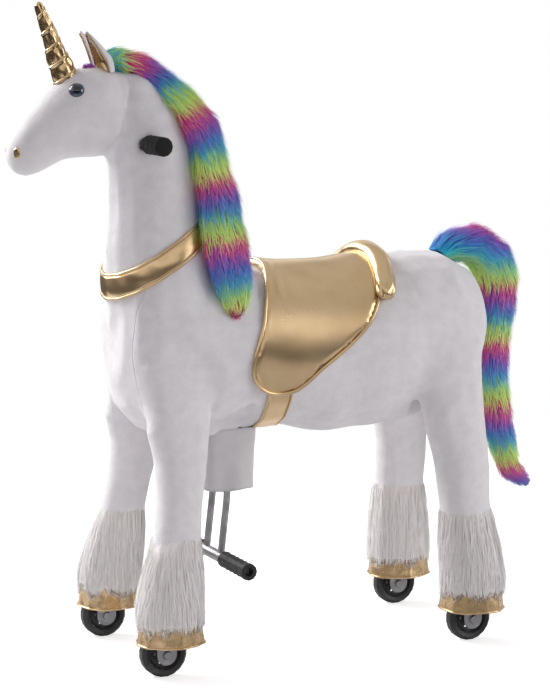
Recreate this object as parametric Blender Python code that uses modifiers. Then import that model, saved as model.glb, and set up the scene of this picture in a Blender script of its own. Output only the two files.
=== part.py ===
"""A plush ride-on unicorn, built piece by piece at its real size.

Lengths are in metres. +Z is up and the floor is Z = 0. The head faces -Y and the pony's left side is +X.
The front half (chest, neck, head and both front legs) steers about a vertical tube. The front and rear
legs swing apart on cross shafts, linked by a rod, and each leg stands on one free-running wheel.
"""

import math

import bmesh
import bpy
from mathutils import Matrix, Vector

# Clearances and how finely round shapes are cut
SEAT_GAP = 0.0003
RUN_GAP = 0.0008
OVERRUN = 0.02
MERGE_DISTANCE = 0.000002
SHARP_DEGREES = 40
ROUND_SIDES = 12
TUBE_RESOLUTION = 2

# Frame layout
STEER_Y = -0.225
STEER_RADIUS = 0.162
STEER_SIDES = 40
STEER_DEGREES = 20
FRAME_LENGTH = 0.46
SHOULDER_TRAIL = 0.018
SHOULDER_HEIGHT = 0.415
HIP_RISE = 0.025
LEG_SWING_DEGREES = 14
PEDAL_SWING_DEGREES = 5

# Wheels and their forks
WHEEL_RADIUS = 0.034
TYRE_WIDTH = 0.024
TYRE_TREAD_SHARE = 0.5
TYRE_SHOULDER_SHARE = 0.45
TYRE_BEAD_SHARE = 0.85
TRACK = 0.246
FRONT_REACH = 0.039
REAR_REACH = 0.015
FRONT_HOOF_SHIFT = 0.0113
REAR_HOOF_SHIFT = 0.0068
HUB_RADIUS = 0.0235
HUB_WEB = 0.005
HUB_LIP_WEB_SHARE = 0.6
BOSS_RADIUS = 0.0085
AXLE_RADIUS = 0.004
RIVET_RADIUS = 0.0068
RIVET_HEIGHT = 0.0035
RIVET_CROWN_SHARE = 0.8
AXLE_STEPS = 10
HUB_HOLES = 5
HUB_HOLE_RADIUS = 0.0028
HUB_HOLE_SIDES = 6
WHEEL_STEPS = 20
HUB_STEPS = 14
FORK_PLATE = 0.003
FORK_WIDTH = 0.030
FORK_STEPS = 8
CROWN_CLEARANCE = 0.004
SPIGOT_RADIUS = 0.006
SPIGOT_LENGTH = 0.022

# Legs
LEG_TUBE_RADIUS = 0.009
LEG_TOP_X = 0.080
LEG_ELBOW = 0.030
TUBE_BEND_SHARE = 1 / 3
DISC_INSIDE_X = 0.055
DISC_OUTSIDE_X = 0.101
SHOULDER_DISC_RADIUS = 0.055
HIP_DISC_RADIUS = 0.057
LEG_DEPTH = 0.100
LEG_WIDTH = 0.068
LEG_SIDES = 12
LEG_SQUARENESS = 2.2
DISC_SIDES = 16
RECESS_SIDES = 24
HOOF_GROUND_GAP = 0.047
HOOF_HEIGHT = 0.058
HOOF_FLARE = 0.0075
CUFF_HEIGHT = 0.146
CUFF_FUR = 0.009

# Shafts and the linkage
SHAFT_RADIUS = 0.010
SHAFT_BOSS_RADIUS = 0.0165
SHAFT_BOSS_WIDTH = 0.022
CRANK_ARM = 0.035
CRANK_THICKNESS = 0.008
CRANK_RADIUS = 0.0095
CRANK_PIN_RADIUS = 0.004
ROD_RADIUS = 0.0045
ROD_EYE_RADIUS = 0.0095
ROD_FORK_REACH = 0.01575

# Main frame
TIE_PLACE_SHARES = (0.10, 0.42)
BEAM_SLOT_LEAD = 0.024
RAIL_SPREAD = 0.016
RAIL_THICKNESS = 0.007
RAIL_DEPTH = 0.026
HEAD_TUBE_RADIUS = 0.017
HEAD_TUBE_HEIGHT = 0.072
COLUMN_RADIUS = 0.011
COLLAR_RADIUS = 0.0165
COLLAR_HEIGHT = 0.010
CROSSHEAD_WIDTH = 0.088
CROSSHEAD_WALL = 0.008
BEARING_RADIUS = 0.016
SPRING_RADIUS = 0.0195
SPRING_WIRE = 0.0013
SPRING_TURNS = 3
SPRING_STEPS = 9

# Pedals and the cloth round them
PEDAL_SETBACK = 0.130
PEDAL_DROP = 0.306
PEDAL_BEND_DROP = 0.220
PEDAL_LEAN = 0.020
PEDAL_SPREAD = 0.027
PEDAL_BAR_RADIUS = 0.0055
PEDAL_PIN_RADIUS = 0.005
PEDAL_EYE_RADIUS = 0.0105
PEDAL_TUBE_RADIUS = 0.0085
PEDAL_SPINDLE_RADIUS = 0.006
PEDAL_TUBE_HALF = 0.044
PEDAL_GRIP_LENGTH = 0.088
PEDAL_GRIP_RADIUS = 0.0125
PEDAL_GRIP_RIBS = 6
PEDAL_GROOVE_SHARE = 0.9
PEDAL_RIB_SHARE = 0.3
PEDAL_SPINDLE_SHARE = 0.85
SKIRT_SETBACK = 0.1265
SKIRT_LENGTH = 0.088
SKIRT_WIDTH = 0.082
SKIRT_HEM_DROP = 0.072
SKIRT_CLOTH = 0.002
SKIRT_FOLD = 0.0035
SKIRT_FOLDS = 4
SKIRT_FOLD_STEPS = 6
SKIRT_SQUARENESS = 7
SKIRT_ROW_SHARES = (0.0, 0.5, 1.0)
BELLY_COLLAR_DEPTH = 0.042

# Body, neck and head
RUMP_REACH = 0.083
BODY_HEIGHT = 0.270
BODY_WIDTH = 0.222
BODY_RISE = 0.035
CHEST_REACH = 0.047
BODY_SIDES = 20
BODY_SQUARENESS = 2.15
NECK_HEIGHT = 0.330
NECK_FOOT_RISE = 0.050
NECK_DEPTH = 0.170
NECK_WIDTH = 0.190
NECK_FORWARD = 0.074
NECK_SIDES = 16
NECK_SQUARENESS = 2.0
HEAD_LENGTH = 0.2035
HEAD_HEIGHT = 0.132
HEAD_WIDTH = 0.108
HEAD_BACK_SET = 0.016
HEAD_BACK_DROP = 0.007
HEAD_DROOP_DEGREES = 23.5
HEAD_SQUARENESS = 2.1

# Head fittings
HORN_PLACE_SHARES = (0.395, 0.80)
HORN_LEAN_DEGREES = 20.5
HORN_LENGTH = 0.125
HORN_FOOT_RADIUS = 0.0195
HORN_TIP_RADIUS = 0.0055
HORN_SIDES = 12
HORN_TURNS = 6
HORN_TURN_STEPS = 3
HORN_GROOVE = 0.0022
HORN_FADE_SHARE = 0.5
EAR_PLACE_SHARES = (0.15, 0.72)
EAR_RISE_DIRECTION = (-0.20, -0.38, 0.90)
EAR_BACK_DIRECTION = (0.12, 0.92, 0.36)
EAR_LENGTH = 0.066
EAR_WIDTH = 0.031
EAR_WALL = 0.005
EAR_SPREAD = 0.023
EAR_CURL_SHARE = 0.10
EAR_FOLD_SHARE = 1.10
EAR_FOLD_STEPS = 4
EYE_PLACE_SHARES = (0.405, 0.715, 0.64)
EYE_RADIUS = 0.0115
EYE_SIDES = 12
EYE_RINGS = 6

# Handlebar
HANDLE_RISE = 0.257
HANDLE_SET_FORWARD = 0.014
HANDLE_BAR_RADIUS = 0.010
HANDLE_LENGTH = 0.250
HANDLE_CLAMP_WALL = 0.006
GRIP_RADIUS = 0.014
GRIP_LENGTH = 0.054
GRIP_RIB = 0.0008
GRIP_RIBS = 3
GRIP_RIBBED_SHARE = 0.86
GRIP_DOME_SHARES = ((0.6, 1.0), (0.93, 0.97))
GRIP_RIB_START_SHARE = 0.93

# Saddle and straps
SADDLE_LENGTH = 0.225
SADDLE_START = 0.019
SADDLE_PAD = 0.006
SADDLE_CROWN = 0.009
FLAP_DROP = 0.215
CANTLE_RADIUS = 0.017
CANTLE_REACH_DEGREES = 50
CANTLE_PLACE_SHARE = 0.80
CANTLE_LEAN_SHARE = 0.224
CANTLE_STEPS = 12
CANTLE_SIDES = 12
CANTLE_CAP_SHARE = 0.6
CANTLE_ROUNDING = 0.45
GIRTH_SETBACK = 0.015
GIRTH_WIDTH = 0.042
GIRTH_THICKNESS = 0.0025
STRAP_WIDTH = 0.029
STRAP_THICKNESS = 0.003
STRAP_TILT_DEGREES = 33
STRAP_RISE = 0.086

# Mane and tail
MANE_CROWN_SHARES = (0.20, 0.42)
MANE_WIDTH = 0.066
MANE_THICKNESS = 0.036
MANE_SIDES = 16
MANE_REACH = 0.160
MANE_FALL = 0.365
MANE_SWING = 0.082
TAIL_RADIUS = 0.031
TAIL_SIDES = 16
TAIL_REACH = 0.105
TAIL_FALL = 0.385
TAIL_ROOT_RISE = 0.144

# Places worked out from the sizes above
SHOULDER_Y = STEER_Y + SHOULDER_TRAIL
HIP_Y = STEER_Y + FRAME_LENGTH
HIP_HEIGHT = SHOULDER_HEIGHT + HIP_RISE
BODY_LENGTH = CHEST_REACH + FRAME_LENGTH + RUMP_REACH
BODY_LEVEL = SHOULDER_HEIGHT + BODY_RISE
NECK_FOOT_HEIGHT = BODY_LEVEL + NECK_FOOT_RISE
HEAD_BACK_Y = STEER_Y - HEAD_BACK_SET
HEAD_BACK_HEIGHT = NECK_FOOT_HEIGHT + NECK_HEIGHT - HEAD_BACK_DROP
HANDLE_HEIGHT = NECK_FOOT_HEIGHT + HANDLE_RISE
STRAP_LEVEL = NECK_FOOT_HEIGHT + STRAP_RISE
TAIL_ROOT_HEIGHT = BODY_LEVEL + TAIL_ROOT_RISE
SKIRT_HEM_HEIGHT = BODY_LEVEL - BODY_HEIGHT / 2 - SKIRT_HEM_DROP
BODY_FRONT_Y = STEER_Y - CHEST_REACH
FORK_INSIDE = TYRE_WIDTH / 2 + RUN_GAP * 2
FORK_OUTSIDE = FORK_INSIDE + FORK_PLATE
CROWN_UNDER = WHEEL_RADIUS * 2 + CROWN_CLEARANCE
CROWN_TOP = CROWN_UNDER + FORK_PLATE
HOOF_TOP = HOOF_GROUND_GAP + HOOF_HEIGHT
RAIL_INSIDE = RAIL_SPREAD - RAIL_THICKNESS / 2
RAIL_OUTSIDE = RAIL_SPREAD + RAIL_THICKNESS / 2
BEAM_LEVEL = SHOULDER_HEIGHT + SHAFT_RADIUS + CROSSHEAD_WALL + RUN_GAP + RAIL_DEPTH / 2
HEAD_TUBE_FOOT = BEAM_LEVEL - RAIL_DEPTH / 2
PEDAL_Y = STEER_Y + PEDAL_SETBACK
SKIRT_Y = STEER_Y + SKIRT_SETBACK
COLLAR_TOP = BODY_LEVEL - BODY_HEIGHT / 2 + BELLY_COLLAR_DEPTH
HANDLE_Y = STEER_Y - HANDLE_SET_FORWARD
BEARING_END_X = DISC_INSIDE_X - RUN_GAP * 2

# Shares of the body's length, height and width at each station, front to rear:
# along the length, centre above the body's level, height, width
BODY_SHARES = (
    (0.000, 0.110, 0.500, 0.400),
    (0.020, 0.095, 0.780, 0.680),
    (0.065, 0.055, 0.920, 0.870),
    (0.140, 0.018, 0.995, 0.955),
    (0.260, 0.004, 0.957, 0.965),
    (0.395, 0.004, 0.852, 0.935),
    (0.530, -0.040, 0.900, 0.940),
    (0.665, -0.025, 0.925, 0.975),
    (0.785, 0.010, 0.945, 1.000),
    (0.885, 0.045, 0.860, 0.950),
    (0.960, 0.065, 0.640, 0.760),
    (1.000, 0.070, 0.330, 0.420),
)

# Shares of the neck's height, forward lean, depth and width at each station, foot to top
NECK_SHARES = (
    (0.000, -0.470, 1.000, 1.000),
    (0.150, -0.380, 0.976, 0.960),
    (0.330, -0.300, 0.912, 0.840),
    (0.515, -0.290, 0.841, 0.745),
    (0.727, -0.190, 0.788, 0.700),
    (0.880, 0.030, 0.705, 0.650),
    (1.000, 0.250, 0.570, 0.530),
    (1.080, 0.420, 0.430, 0.410),
)

# Shares of the head's length, centre above its axis, height and width at each station, poll to nose
HEAD_SHARES = (
    (0.000, 0.000, 0.280, 0.330),
    (0.039, 0.020, 0.600, 0.620),
    (0.120, 0.020, 0.880, 0.860),
    (0.241, 0.020, 1.000, 1.000),
    (0.385, 0.075, 0.950, 0.980),
    (0.530, 0.100, 0.800, 0.870),
    (0.650, 0.060, 0.650, 0.780),
    (0.770, -0.020, 0.570, 0.710),
    (0.862, -0.095, 0.490, 0.640),
    (0.925, -0.135, 0.415, 0.540),
    (0.968, -0.155, 0.320, 0.410),
    (1.000, -0.170, 0.160, 0.220),
)

# Shares of a leg's drop, sideways splay, fore-and-aft lean, depth and width, pivot to hoof.
# The front leg leans from the shoulder to the hoof, the rear one from the hip.
FRONT_LEG_SHARES = (
    (0.00, 0.00, 0.00, 1.02, 0.68),
    (0.18, 0.07, -0.04, 0.98, 0.91),
    (0.34, 0.24, -0.10, 0.78, 0.94),
    (0.50, 0.44, 0.06, 0.67, 0.94),
    (0.68, 0.68, 0.38, 0.67, 0.97),
    (0.86, 0.88, 0.73, 0.74, 1.03),
    (1.00, 1.00, 1.00, 0.83, 1.12),
)
REAR_LEG_SHARES = (
    (0.00, 0.00, 0.00, 1.10, 0.68),
    (0.18, 0.07, 0.10, 1.06, 0.94),
    (0.33, 0.24, 0.32, 0.97, 1.00),
    (0.48, 0.44, 0.58, 0.86, 1.00),
    (0.69, 0.68, 0.68, 0.78, 1.00),
    (0.87, 0.88, 0.84, 0.80, 1.06),
    (1.00, 1.00, 1.00, 0.84, 1.12),
)

# Shares of a leg top's radius and thickness, outer face to inner face
LEG_TOP_SHARES = ((0.0, 1.0), (0.55, 0.96), (0.86, 0.84), (1.0, 0.62), (1.0, 0.0), (0.0, 0.0))

# Shares of the ear's length and half width at each station, foot to point
EAR_SHARES = ((0.0, 0.62), (0.25, 0.92), (0.5, 1.0), (0.72, 0.80), (0.9, 0.42), (1.0, 0.14))

# Shares of the cuff's height and of its fur thickness, top to bottom
CUFF_SHARES = ((0.0, 0.30), (0.10, 0.75), (0.40, 1.00), (0.72, 1.00), (1.0, 0.45))

# The saddle's side outline: shares of its length behind its start, and of the flap's drop below the back
SADDLE_SHARES = (
    (0.03, -0.40),
    (-0.01, 0.02),
    (-0.07, 0.14),
    (-0.11, 0.25),
    (-0.15, 0.41),
    (-0.20, 0.55),
    (-0.235, 0.66),
    (-0.235, 0.76),
    (-0.195, 0.835),
    (-0.135, 0.88),
    (-0.03, 0.90),
    (0.08, 0.885),
    (0.16, 0.82),
    (0.25, 0.74),
    (0.35, 0.665),
    (0.46, 0.585),
    (0.55, 0.505),
    (0.615, 0.43),
    (0.67, 0.34),
    (0.71, 0.25),
    (0.735, 0.14),
    (0.79, 0.02),
    (0.85, -0.06),
    (0.88, -0.40),
)

# Mane stations, crown to tip: shares of the mane's reach behind the poll, of its fall, and of its swing
# to the pony's left, then its width, its thickness and how far its face turns to the left in degrees
MANE_SHARES = (
    (-0.060, 0.022, 0.00, 0.26, 0.36, 0),
    (0.040, 0.006, 0.04, 0.48, 0.58, 10),
    (0.206, 0.036, 0.12, 0.70, 0.80, 22),
    (0.399, 0.098, 0.29, 0.80, 0.88, 35),
    (0.556, 0.176, 0.49, 0.84, 0.92, 46),
    (0.700, 0.272, 0.63, 0.85, 0.95, 55),
    (0.765, 0.385, 0.71, 0.88, 0.97, 60),
    (0.815, 0.499, 0.79, 0.95, 1.00, 66),
    (0.843, 0.619, 0.89, 1.02, 1.00, 72),
    (0.870, 0.751, 1.00, 1.02, 1.00, 78),
    (0.895, 0.838, 1.06, 0.84, 0.90, 82),
    (0.915, 0.927, 1.11, 0.60, 0.70, 85),
    (0.924, 0.996, 1.13, 0.26, 0.35, 86),
)

# Tail stations, root to tip: shares of its reach behind the rump, of its fall, and of its radius
TAIL_SHARES = (
    (-0.65, 0.070, 0.55),
    (-0.40, 0.028, 0.70),
    (-0.02, 0.019, 0.92),
    (0.29, 0.078, 1.02),
    (0.40, 0.172, 1.00),
    (0.39, 0.294, 0.94),
    (0.31, 0.426, 0.80),
    (0.32, 0.537, 0.78),
    (0.39, 0.647, 0.75),
    (0.44, 0.756, 0.68),
    (0.57, 0.870, 0.62),
    (0.71, 0.956, 0.50),
    (0.92, 1.000, 0.20),
)

WHITE_PLUSH = ("white_plush", (0.93, 0.92, 0.90), 0.9, 0.0)
WHITE_FUR = ("white_fur", (0.95, 0.93, 0.88), 0.95, 0.0)
GOLD_FOIL = ("gold_foil", (0.72, 0.52, 0.25), 0.3, 0.9)
RAINBOW_FUR = ("rainbow_fur", (0.55, 0.25, 0.75), 0.9, 0.0)
BLACK_RUBBER = ("black_rubber", (0.02, 0.02, 0.02), 0.7, 0.0)
BLACK_FOAM = ("black_foam", (0.03, 0.03, 0.03), 0.85, 0.0)
HUB_PLASTIC = ("hub_plastic", (0.12, 0.12, 0.13), 0.45, 0.0)
STEEL = ("steel", (0.55, 0.56, 0.58), 0.35, 1.0)
DARK_STEEL = ("dark_steel", (0.16, 0.16, 0.17), 0.45, 0.9)
WHITE_CLOTH = ("white_cloth", (0.92, 0.91, 0.89), 0.85, 0.0)
EYE_GLOSS = ("eye_gloss", (0.05, 0.09, 0.16), 0.08, 0.0)


# Scene helpers


def clear_scene():
    for obj in list(bpy.data.objects):
        bpy.data.objects.remove(obj, do_unlink=True)


def new_collection(name):
    collection = bpy.data.collections.new(name)
    bpy.context.scene.collection.children.link(collection)
    return collection


clear_scene()
PARTS = new_collection("plush_ride_on_unicorn")
CUTTERS = new_collection("cutters")


def material(look):
    name, color, roughness, metallic = look
    found = bpy.data.materials.get(name)
    if found:
        return found
    made = bpy.data.materials.new(name)
    made.use_nodes = True
    shader = made.node_tree.nodes["Principled BSDF"]
    shader.inputs["Base Color"].default_value = (*color, 1.0)
    shader.inputs["Roughness"].default_value = roughness
    shader.inputs["Metallic"].default_value = metallic
    return made


class Joint:
    """An empty on a joint's axis, which carries the pieces that move with it."""

    def __init__(self, name, place, parent=None):
        self.place = Vector(place)
        self.empty = bpy.data.objects.new(name, None)
        PARTS.objects.link(self.empty)
        self.empty.parent = parent.empty if parent else None
        self.empty.location = self.place - (parent.place if parent else Vector())

    def carry(self, obj):
        """Moves the object's origin onto this joint and parents it."""
        if obj.location.length == 0:
            obj.data.transform(Matrix.Translation(-self.place))
        else:
            obj.location = obj.location - self.place
        obj.parent = self.empty
        return obj


def part(obj, name, look, joint):
    """Turns a helper solid into a finished, named piece."""
    for collection in list(obj.users_collection):
        collection.objects.unlink(obj)
    PARTS.objects.link(obj)
    obj.name = name
    obj.data.name = name
    obj.hide_render = False
    obj.display_type = "TEXTURED"
    obj.data.materials.clear()
    obj.data.materials.append(material(look))
    if isinstance(obj.data, bpy.types.Mesh) and obj.data.polygons:
        obj.data.shade_smooth()
        obj.data.set_sharp_from_angle(angle=math.radians(SHARP_DEGREES))
    joint.carry(obj)
    return obj


def helper(name, data):
    """An object among the cutters, which the finished model leaves out."""
    obj = bpy.data.objects.new(name, data)
    CUTTERS.objects.link(obj)
    obj.hide_render = True
    obj.display_type = "WIRE"
    return obj


def combine(obj, other, operation="DIFFERENCE"):
    modifier = obj.modifiers.new(operation.title(), "BOOLEAN")
    modifier.operation = operation
    modifier.solver = "EXACT"
    modifier.object = other
    return obj


def settle(obj):
    """Replaces the object's mesh by what its modifiers make, so that later pieces can reuse it."""
    bpy.context.view_layer.update()
    graph = bpy.context.evaluated_depsgraph_get()
    mesh = bpy.data.meshes.new_from_object(obj.evaluated_get(graph))
    bm = bmesh.new()
    bm.from_mesh(mesh)
    bmesh.ops.remove_doubles(bm, verts=bm.verts, dist=MERGE_DISTANCE)
    bm.to_mesh(mesh)
    bm.free()
    if obj.type == "MESH":
        obj.modifiers.clear()
        obj.data = mesh
        return obj
    made = helper(obj.name + "_solid", mesh)
    made.matrix_world = obj.matrix_world.copy()
    bpy.data.objects.remove(obj, do_unlink=True)
    return made


# Solids


def ring(centre, side, out, half_side, half_out, count, squareness=2.0):
    """Points round an oval or rounder-cornered section."""
    points = []
    for step in range(count):
        angle = math.tau * step / count
        across = math.copysign(abs(math.cos(angle)) ** (2 / squareness), math.cos(angle))
        along = math.copysign(abs(math.sin(angle)) ** (2 / squareness), math.sin(angle))
        points.append(centre + side * (half_side * across) + out * (half_out * along))
    return points


def loft(name, rings):
    """One closed solid through rings that each have the same number of points.

    Each quad is split the same way, so that a grown copy stays clear of the first all over.
    """
    bm = bmesh.new()
    rows = [[bm.verts.new(point) for point in points] for points in rings]
    count = len(rows[0])
    for first, second in zip(rows, rows[1:]):
        for step in range(count):
            after = (step + 1) % count
            bm.faces.new((first[step], first[after], second[after]))
            bm.faces.new((first[step], second[after], second[step]))
    bm.faces.new(rows[0])
    bm.faces.new(rows[-1])
    bmesh.ops.recalc_face_normals(bm, faces=bm.faces)
    mesh = bpy.data.meshes.new(name)
    bm.to_mesh(mesh)
    bm.free()
    return helper(name, mesh)


def box(name, low, high):
    low = Vector(low)
    high = Vector(high)
    bm = bmesh.new()
    bmesh.ops.create_cube(bm, size=1)
    bmesh.ops.scale(bm, vec=high - low, verts=bm.verts)
    bmesh.ops.translate(bm, vec=(high + low) / 2, verts=bm.verts)
    mesh = bpy.data.meshes.new(name)
    bm.to_mesh(mesh)
    bm.free()
    return helper(name, mesh)


def rod(name, start, end, radius, sides=ROUND_SIDES):
    """A cylinder between two points."""
    start = Vector(start)
    end = Vector(end)
    bm = bmesh.new()
    turn = (end - start).to_track_quat("Z", "Y").to_matrix().to_4x4()
    bmesh.ops.create_cone(
        bm,
        cap_ends=True,
        segments=sides,
        radius1=radius,
        radius2=radius,
        depth=(end - start).length,
        matrix=Matrix.Translation((start + end) / 2) @ turn,
    )
    mesh = bpy.data.meshes.new(name)
    bm.to_mesh(mesh)
    bm.free()
    return helper(name, mesh)


def cross_rod(name, x_from, x_to, y, z, radius, sides=ROUND_SIDES):
    return rod(name, (x_from, y, z), (x_to, y, z), radius, sides)


def turning_bore(radius):
    """The radius of a bore whose flats stay clear of a faceted pin that turns in it."""
    return (radius + SEAT_GAP) / math.cos(math.pi / ROUND_SIDES)


def turned(name, profile, steps, place, turn):
    """A Screw solid. The profile lists (radius, height) down the outer side."""
    mesh = bpy.data.meshes.new(name)
    points = [(radius, 0, height) for radius, height in profile]
    edges = [(step, step + 1) for step in range(len(points) - 1)]
    if profile[0][0] > 0:
        edges.append((len(points) - 1, 0))
    mesh.from_pydata(points, edges, [])
    obj = helper(name, mesh)
    screw = obj.modifiers.new("Screw", "SCREW")
    screw.axis = "Z"
    screw.steps = steps
    screw.render_steps = steps
    screw.use_smooth_shade = True
    screw.use_merge_vertices = True
    screw.merge_threshold = MERGE_DISTANCE
    obj.location = place
    obj.rotation_euler = turn
    return obj


def outline(name, points, start, end, to_world):
    """A flat outline, extruded between two heights, then turned to its place."""
    curve = bpy.data.curves.new(name, "CURVE")
    curve.dimensions = "2D"
    curve.fill_mode = "BOTH"
    curve.extrude = (end - start) / 2
    spline = curve.splines.new("POLY")
    spline.points.add(len(points) - 1)
    for point, (u, v) in zip(spline.points, points):
        point.co = (u, v, 0, 1)
    spline.use_cyclic_u = True
    obj = helper(name, curve)
    obj.matrix_world = to_world @ Matrix.Translation((0, 0, (start + end) / 2))
    return settle(obj)


# Turns an outline drawn in (y, z) so that its thickness lies along X.
SIDE_VIEW = Matrix(((0, 0, 1, 0), (1, 0, 0, 0), (0, 1, 0, 0), (0, 0, 0, 1)))


def tube(name, points, radius, resolution=TUBE_RESOLUTION):
    curve = bpy.data.curves.new(name, "CURVE")
    curve.dimensions = "3D"
    curve.bevel_depth = radius
    curve.bevel_resolution = resolution
    curve.use_fill_caps = True
    spline = curve.splines.new("POLY")
    spline.points.add(len(points) - 1)
    for point, place in zip(spline.points, points):
        point.co = (*place, 1)
    return settle(helper(name, curve))


def arc(centre, radius, start, end, steps):
    points = []
    for step in range(steps + 1):
        angle = math.radians(start + (end - start) * step / steps)
        points.append((centre[0] + radius * math.cos(angle), centre[1] + radius * math.sin(angle)))
    return points


# Soft forms, each with a grown copy that cuts its neighbours


def body_rings(grow, sides=BODY_SIDES, crown=0.0):
    rings = []
    for along, rise, tall, wide in BODY_SHARES:
        centre = Vector((0, BODY_FRONT_Y + along * BODY_LENGTH, BODY_LEVEL + rise * BODY_HEIGHT))
        half_wide = wide * BODY_WIDTH / 2 + grow
        half_tall = tall * BODY_HEIGHT / 2 + grow
        points = ring(
            centre, Vector((1, 0, 0)), Vector((0, 0, 1)), half_wide, half_tall, sides, BODY_SQUARENESS
        )
        for point in points:
            top = max(0.0, (point.z - centre.z) / half_tall)
            point.z += crown * top**3
        rings.append(points)
    first = [point - Vector((0, grow, 0)) for point in rings[0]]
    last = [point + Vector((0, grow, 0)) for point in rings[-1]]
    return [first, *rings[1:-1], last]


def body_form(name, grow=0.0):
    return loft(name, body_rings(grow))


def body_section(y):
    """The body's centre height, half height and half width at one place along it."""
    along = (y - BODY_FRONT_Y) / BODY_LENGTH
    for first, second in zip(BODY_SHARES, BODY_SHARES[1:]):
        if along <= second[0]:
            break
    t = min(1.0, max(0.0, (along - first[0]) / (second[0] - first[0])))
    rise, tall, wide = (a + (b - a) * t for a, b in zip(first[1:], second[1:]))
    return BODY_LEVEL + rise * BODY_HEIGHT, tall * BODY_HEIGHT / 2, wide * BODY_WIDTH / 2


def neck_stations():
    stations = []
    for up, lean, deep, wide in NECK_SHARES:
        place = Vector((0, STEER_Y - lean * NECK_FORWARD, NECK_FOOT_HEIGHT + up * NECK_HEIGHT))
        stations.append((place, deep * NECK_DEPTH / 2, wide * NECK_WIDTH / 2))
    return stations


def neck_form(name, grow=0.0):
    stations = neck_stations()
    rings = []
    for index, (place, half_deep, half_wide) in enumerate(stations):
        before = stations[max(0, index - 1)][0]
        after = stations[min(len(stations) - 1, index + 1)][0]
        tangent = (after - before).normalized()
        rise = tangent.cross(Vector((1, 0, 0))).normalized()
        if index == len(stations) - 1:
            place = place + tangent * grow
        rings.append(
            ring(
                place,
                Vector((1, 0, 0)),
                rise,
                half_wide + grow,
                half_deep + grow,
                NECK_SIDES,
                NECK_SQUARENESS,
            )
        )
    return loft(name, rings)


HEAD_AXIS = Vector(
    (0, -math.cos(math.radians(HEAD_DROOP_DEGREES)), -math.sin(math.radians(HEAD_DROOP_DEGREES)))
)
HEAD_UP = Vector((0, HEAD_AXIS.z, -HEAD_AXIS.y))
HEAD_BACK = Vector((0, HEAD_BACK_Y, HEAD_BACK_HEIGHT))


def head_place(along, up, out):
    """A place given by shares of the head's length, half height and half width."""
    return (
        HEAD_BACK
        + HEAD_AXIS * (along * HEAD_LENGTH)
        + HEAD_UP * (up * HEAD_HEIGHT / 2)
        + Vector((out * HEAD_WIDTH / 2, 0, 0))
    )


def head_form(name, grow=0.0):
    rings = []
    for along, rise, tall, wide in HEAD_SHARES:
        reach = along * HEAD_LENGTH + grow * (2 * along - 1)
        rings.append(
            ring(
                HEAD_BACK + HEAD_AXIS * reach + HEAD_UP * (rise * HEAD_HEIGHT / 2),
                Vector((1, 0, 0)),
                HEAD_UP,
                wide * HEAD_WIDTH / 2 + grow,
                tall * HEAD_HEIGHT / 2 + grow,
                NECK_SIDES,
                HEAD_SQUARENESS,
            )
        )
    return loft(name, rings)


def steer_cylinder(name, radius):
    top = BODY_LEVEL + BODY_HEIGHT
    return rod(name, (0, STEER_Y, 0), (0, STEER_Y, top), radius, STEER_SIDES)


def swept_wedge(name, half_width, start, low, high):
    """What a strip behind the steering axis sweeps as the front half turns both ways."""
    turn = math.radians(STEER_DEGREES)
    corner = (
        half_width * math.cos(turn) + start * math.sin(turn),
        start * math.cos(turn) - half_width * math.sin(turn),
    )
    reach = STEER_RADIUS * 2
    far = (corner[0] + reach * math.sin(turn), corner[1] + reach * math.cos(turn))
    points = [corner, far, (-far[0], far[1]), (-corner[0], corner[1])]
    return outline(name, points, low, high, Matrix.Translation((0, STEER_Y, 0)))


# Chassis: frame, torso, saddle, straps, skirt and tail


def rail_line():
    front = Vector((0, STEER_Y, BEAM_LEVEL))
    rear = Vector((0, HIP_Y, HIP_HEIGHT))
    return front, rear


def crank_pins():
    front = Vector((0, SHOULDER_Y, SHOULDER_HEIGHT - CRANK_ARM))
    rear = Vector((0, HIP_Y, HIP_HEIGHT + CRANK_ARM))
    return front, rear


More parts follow.
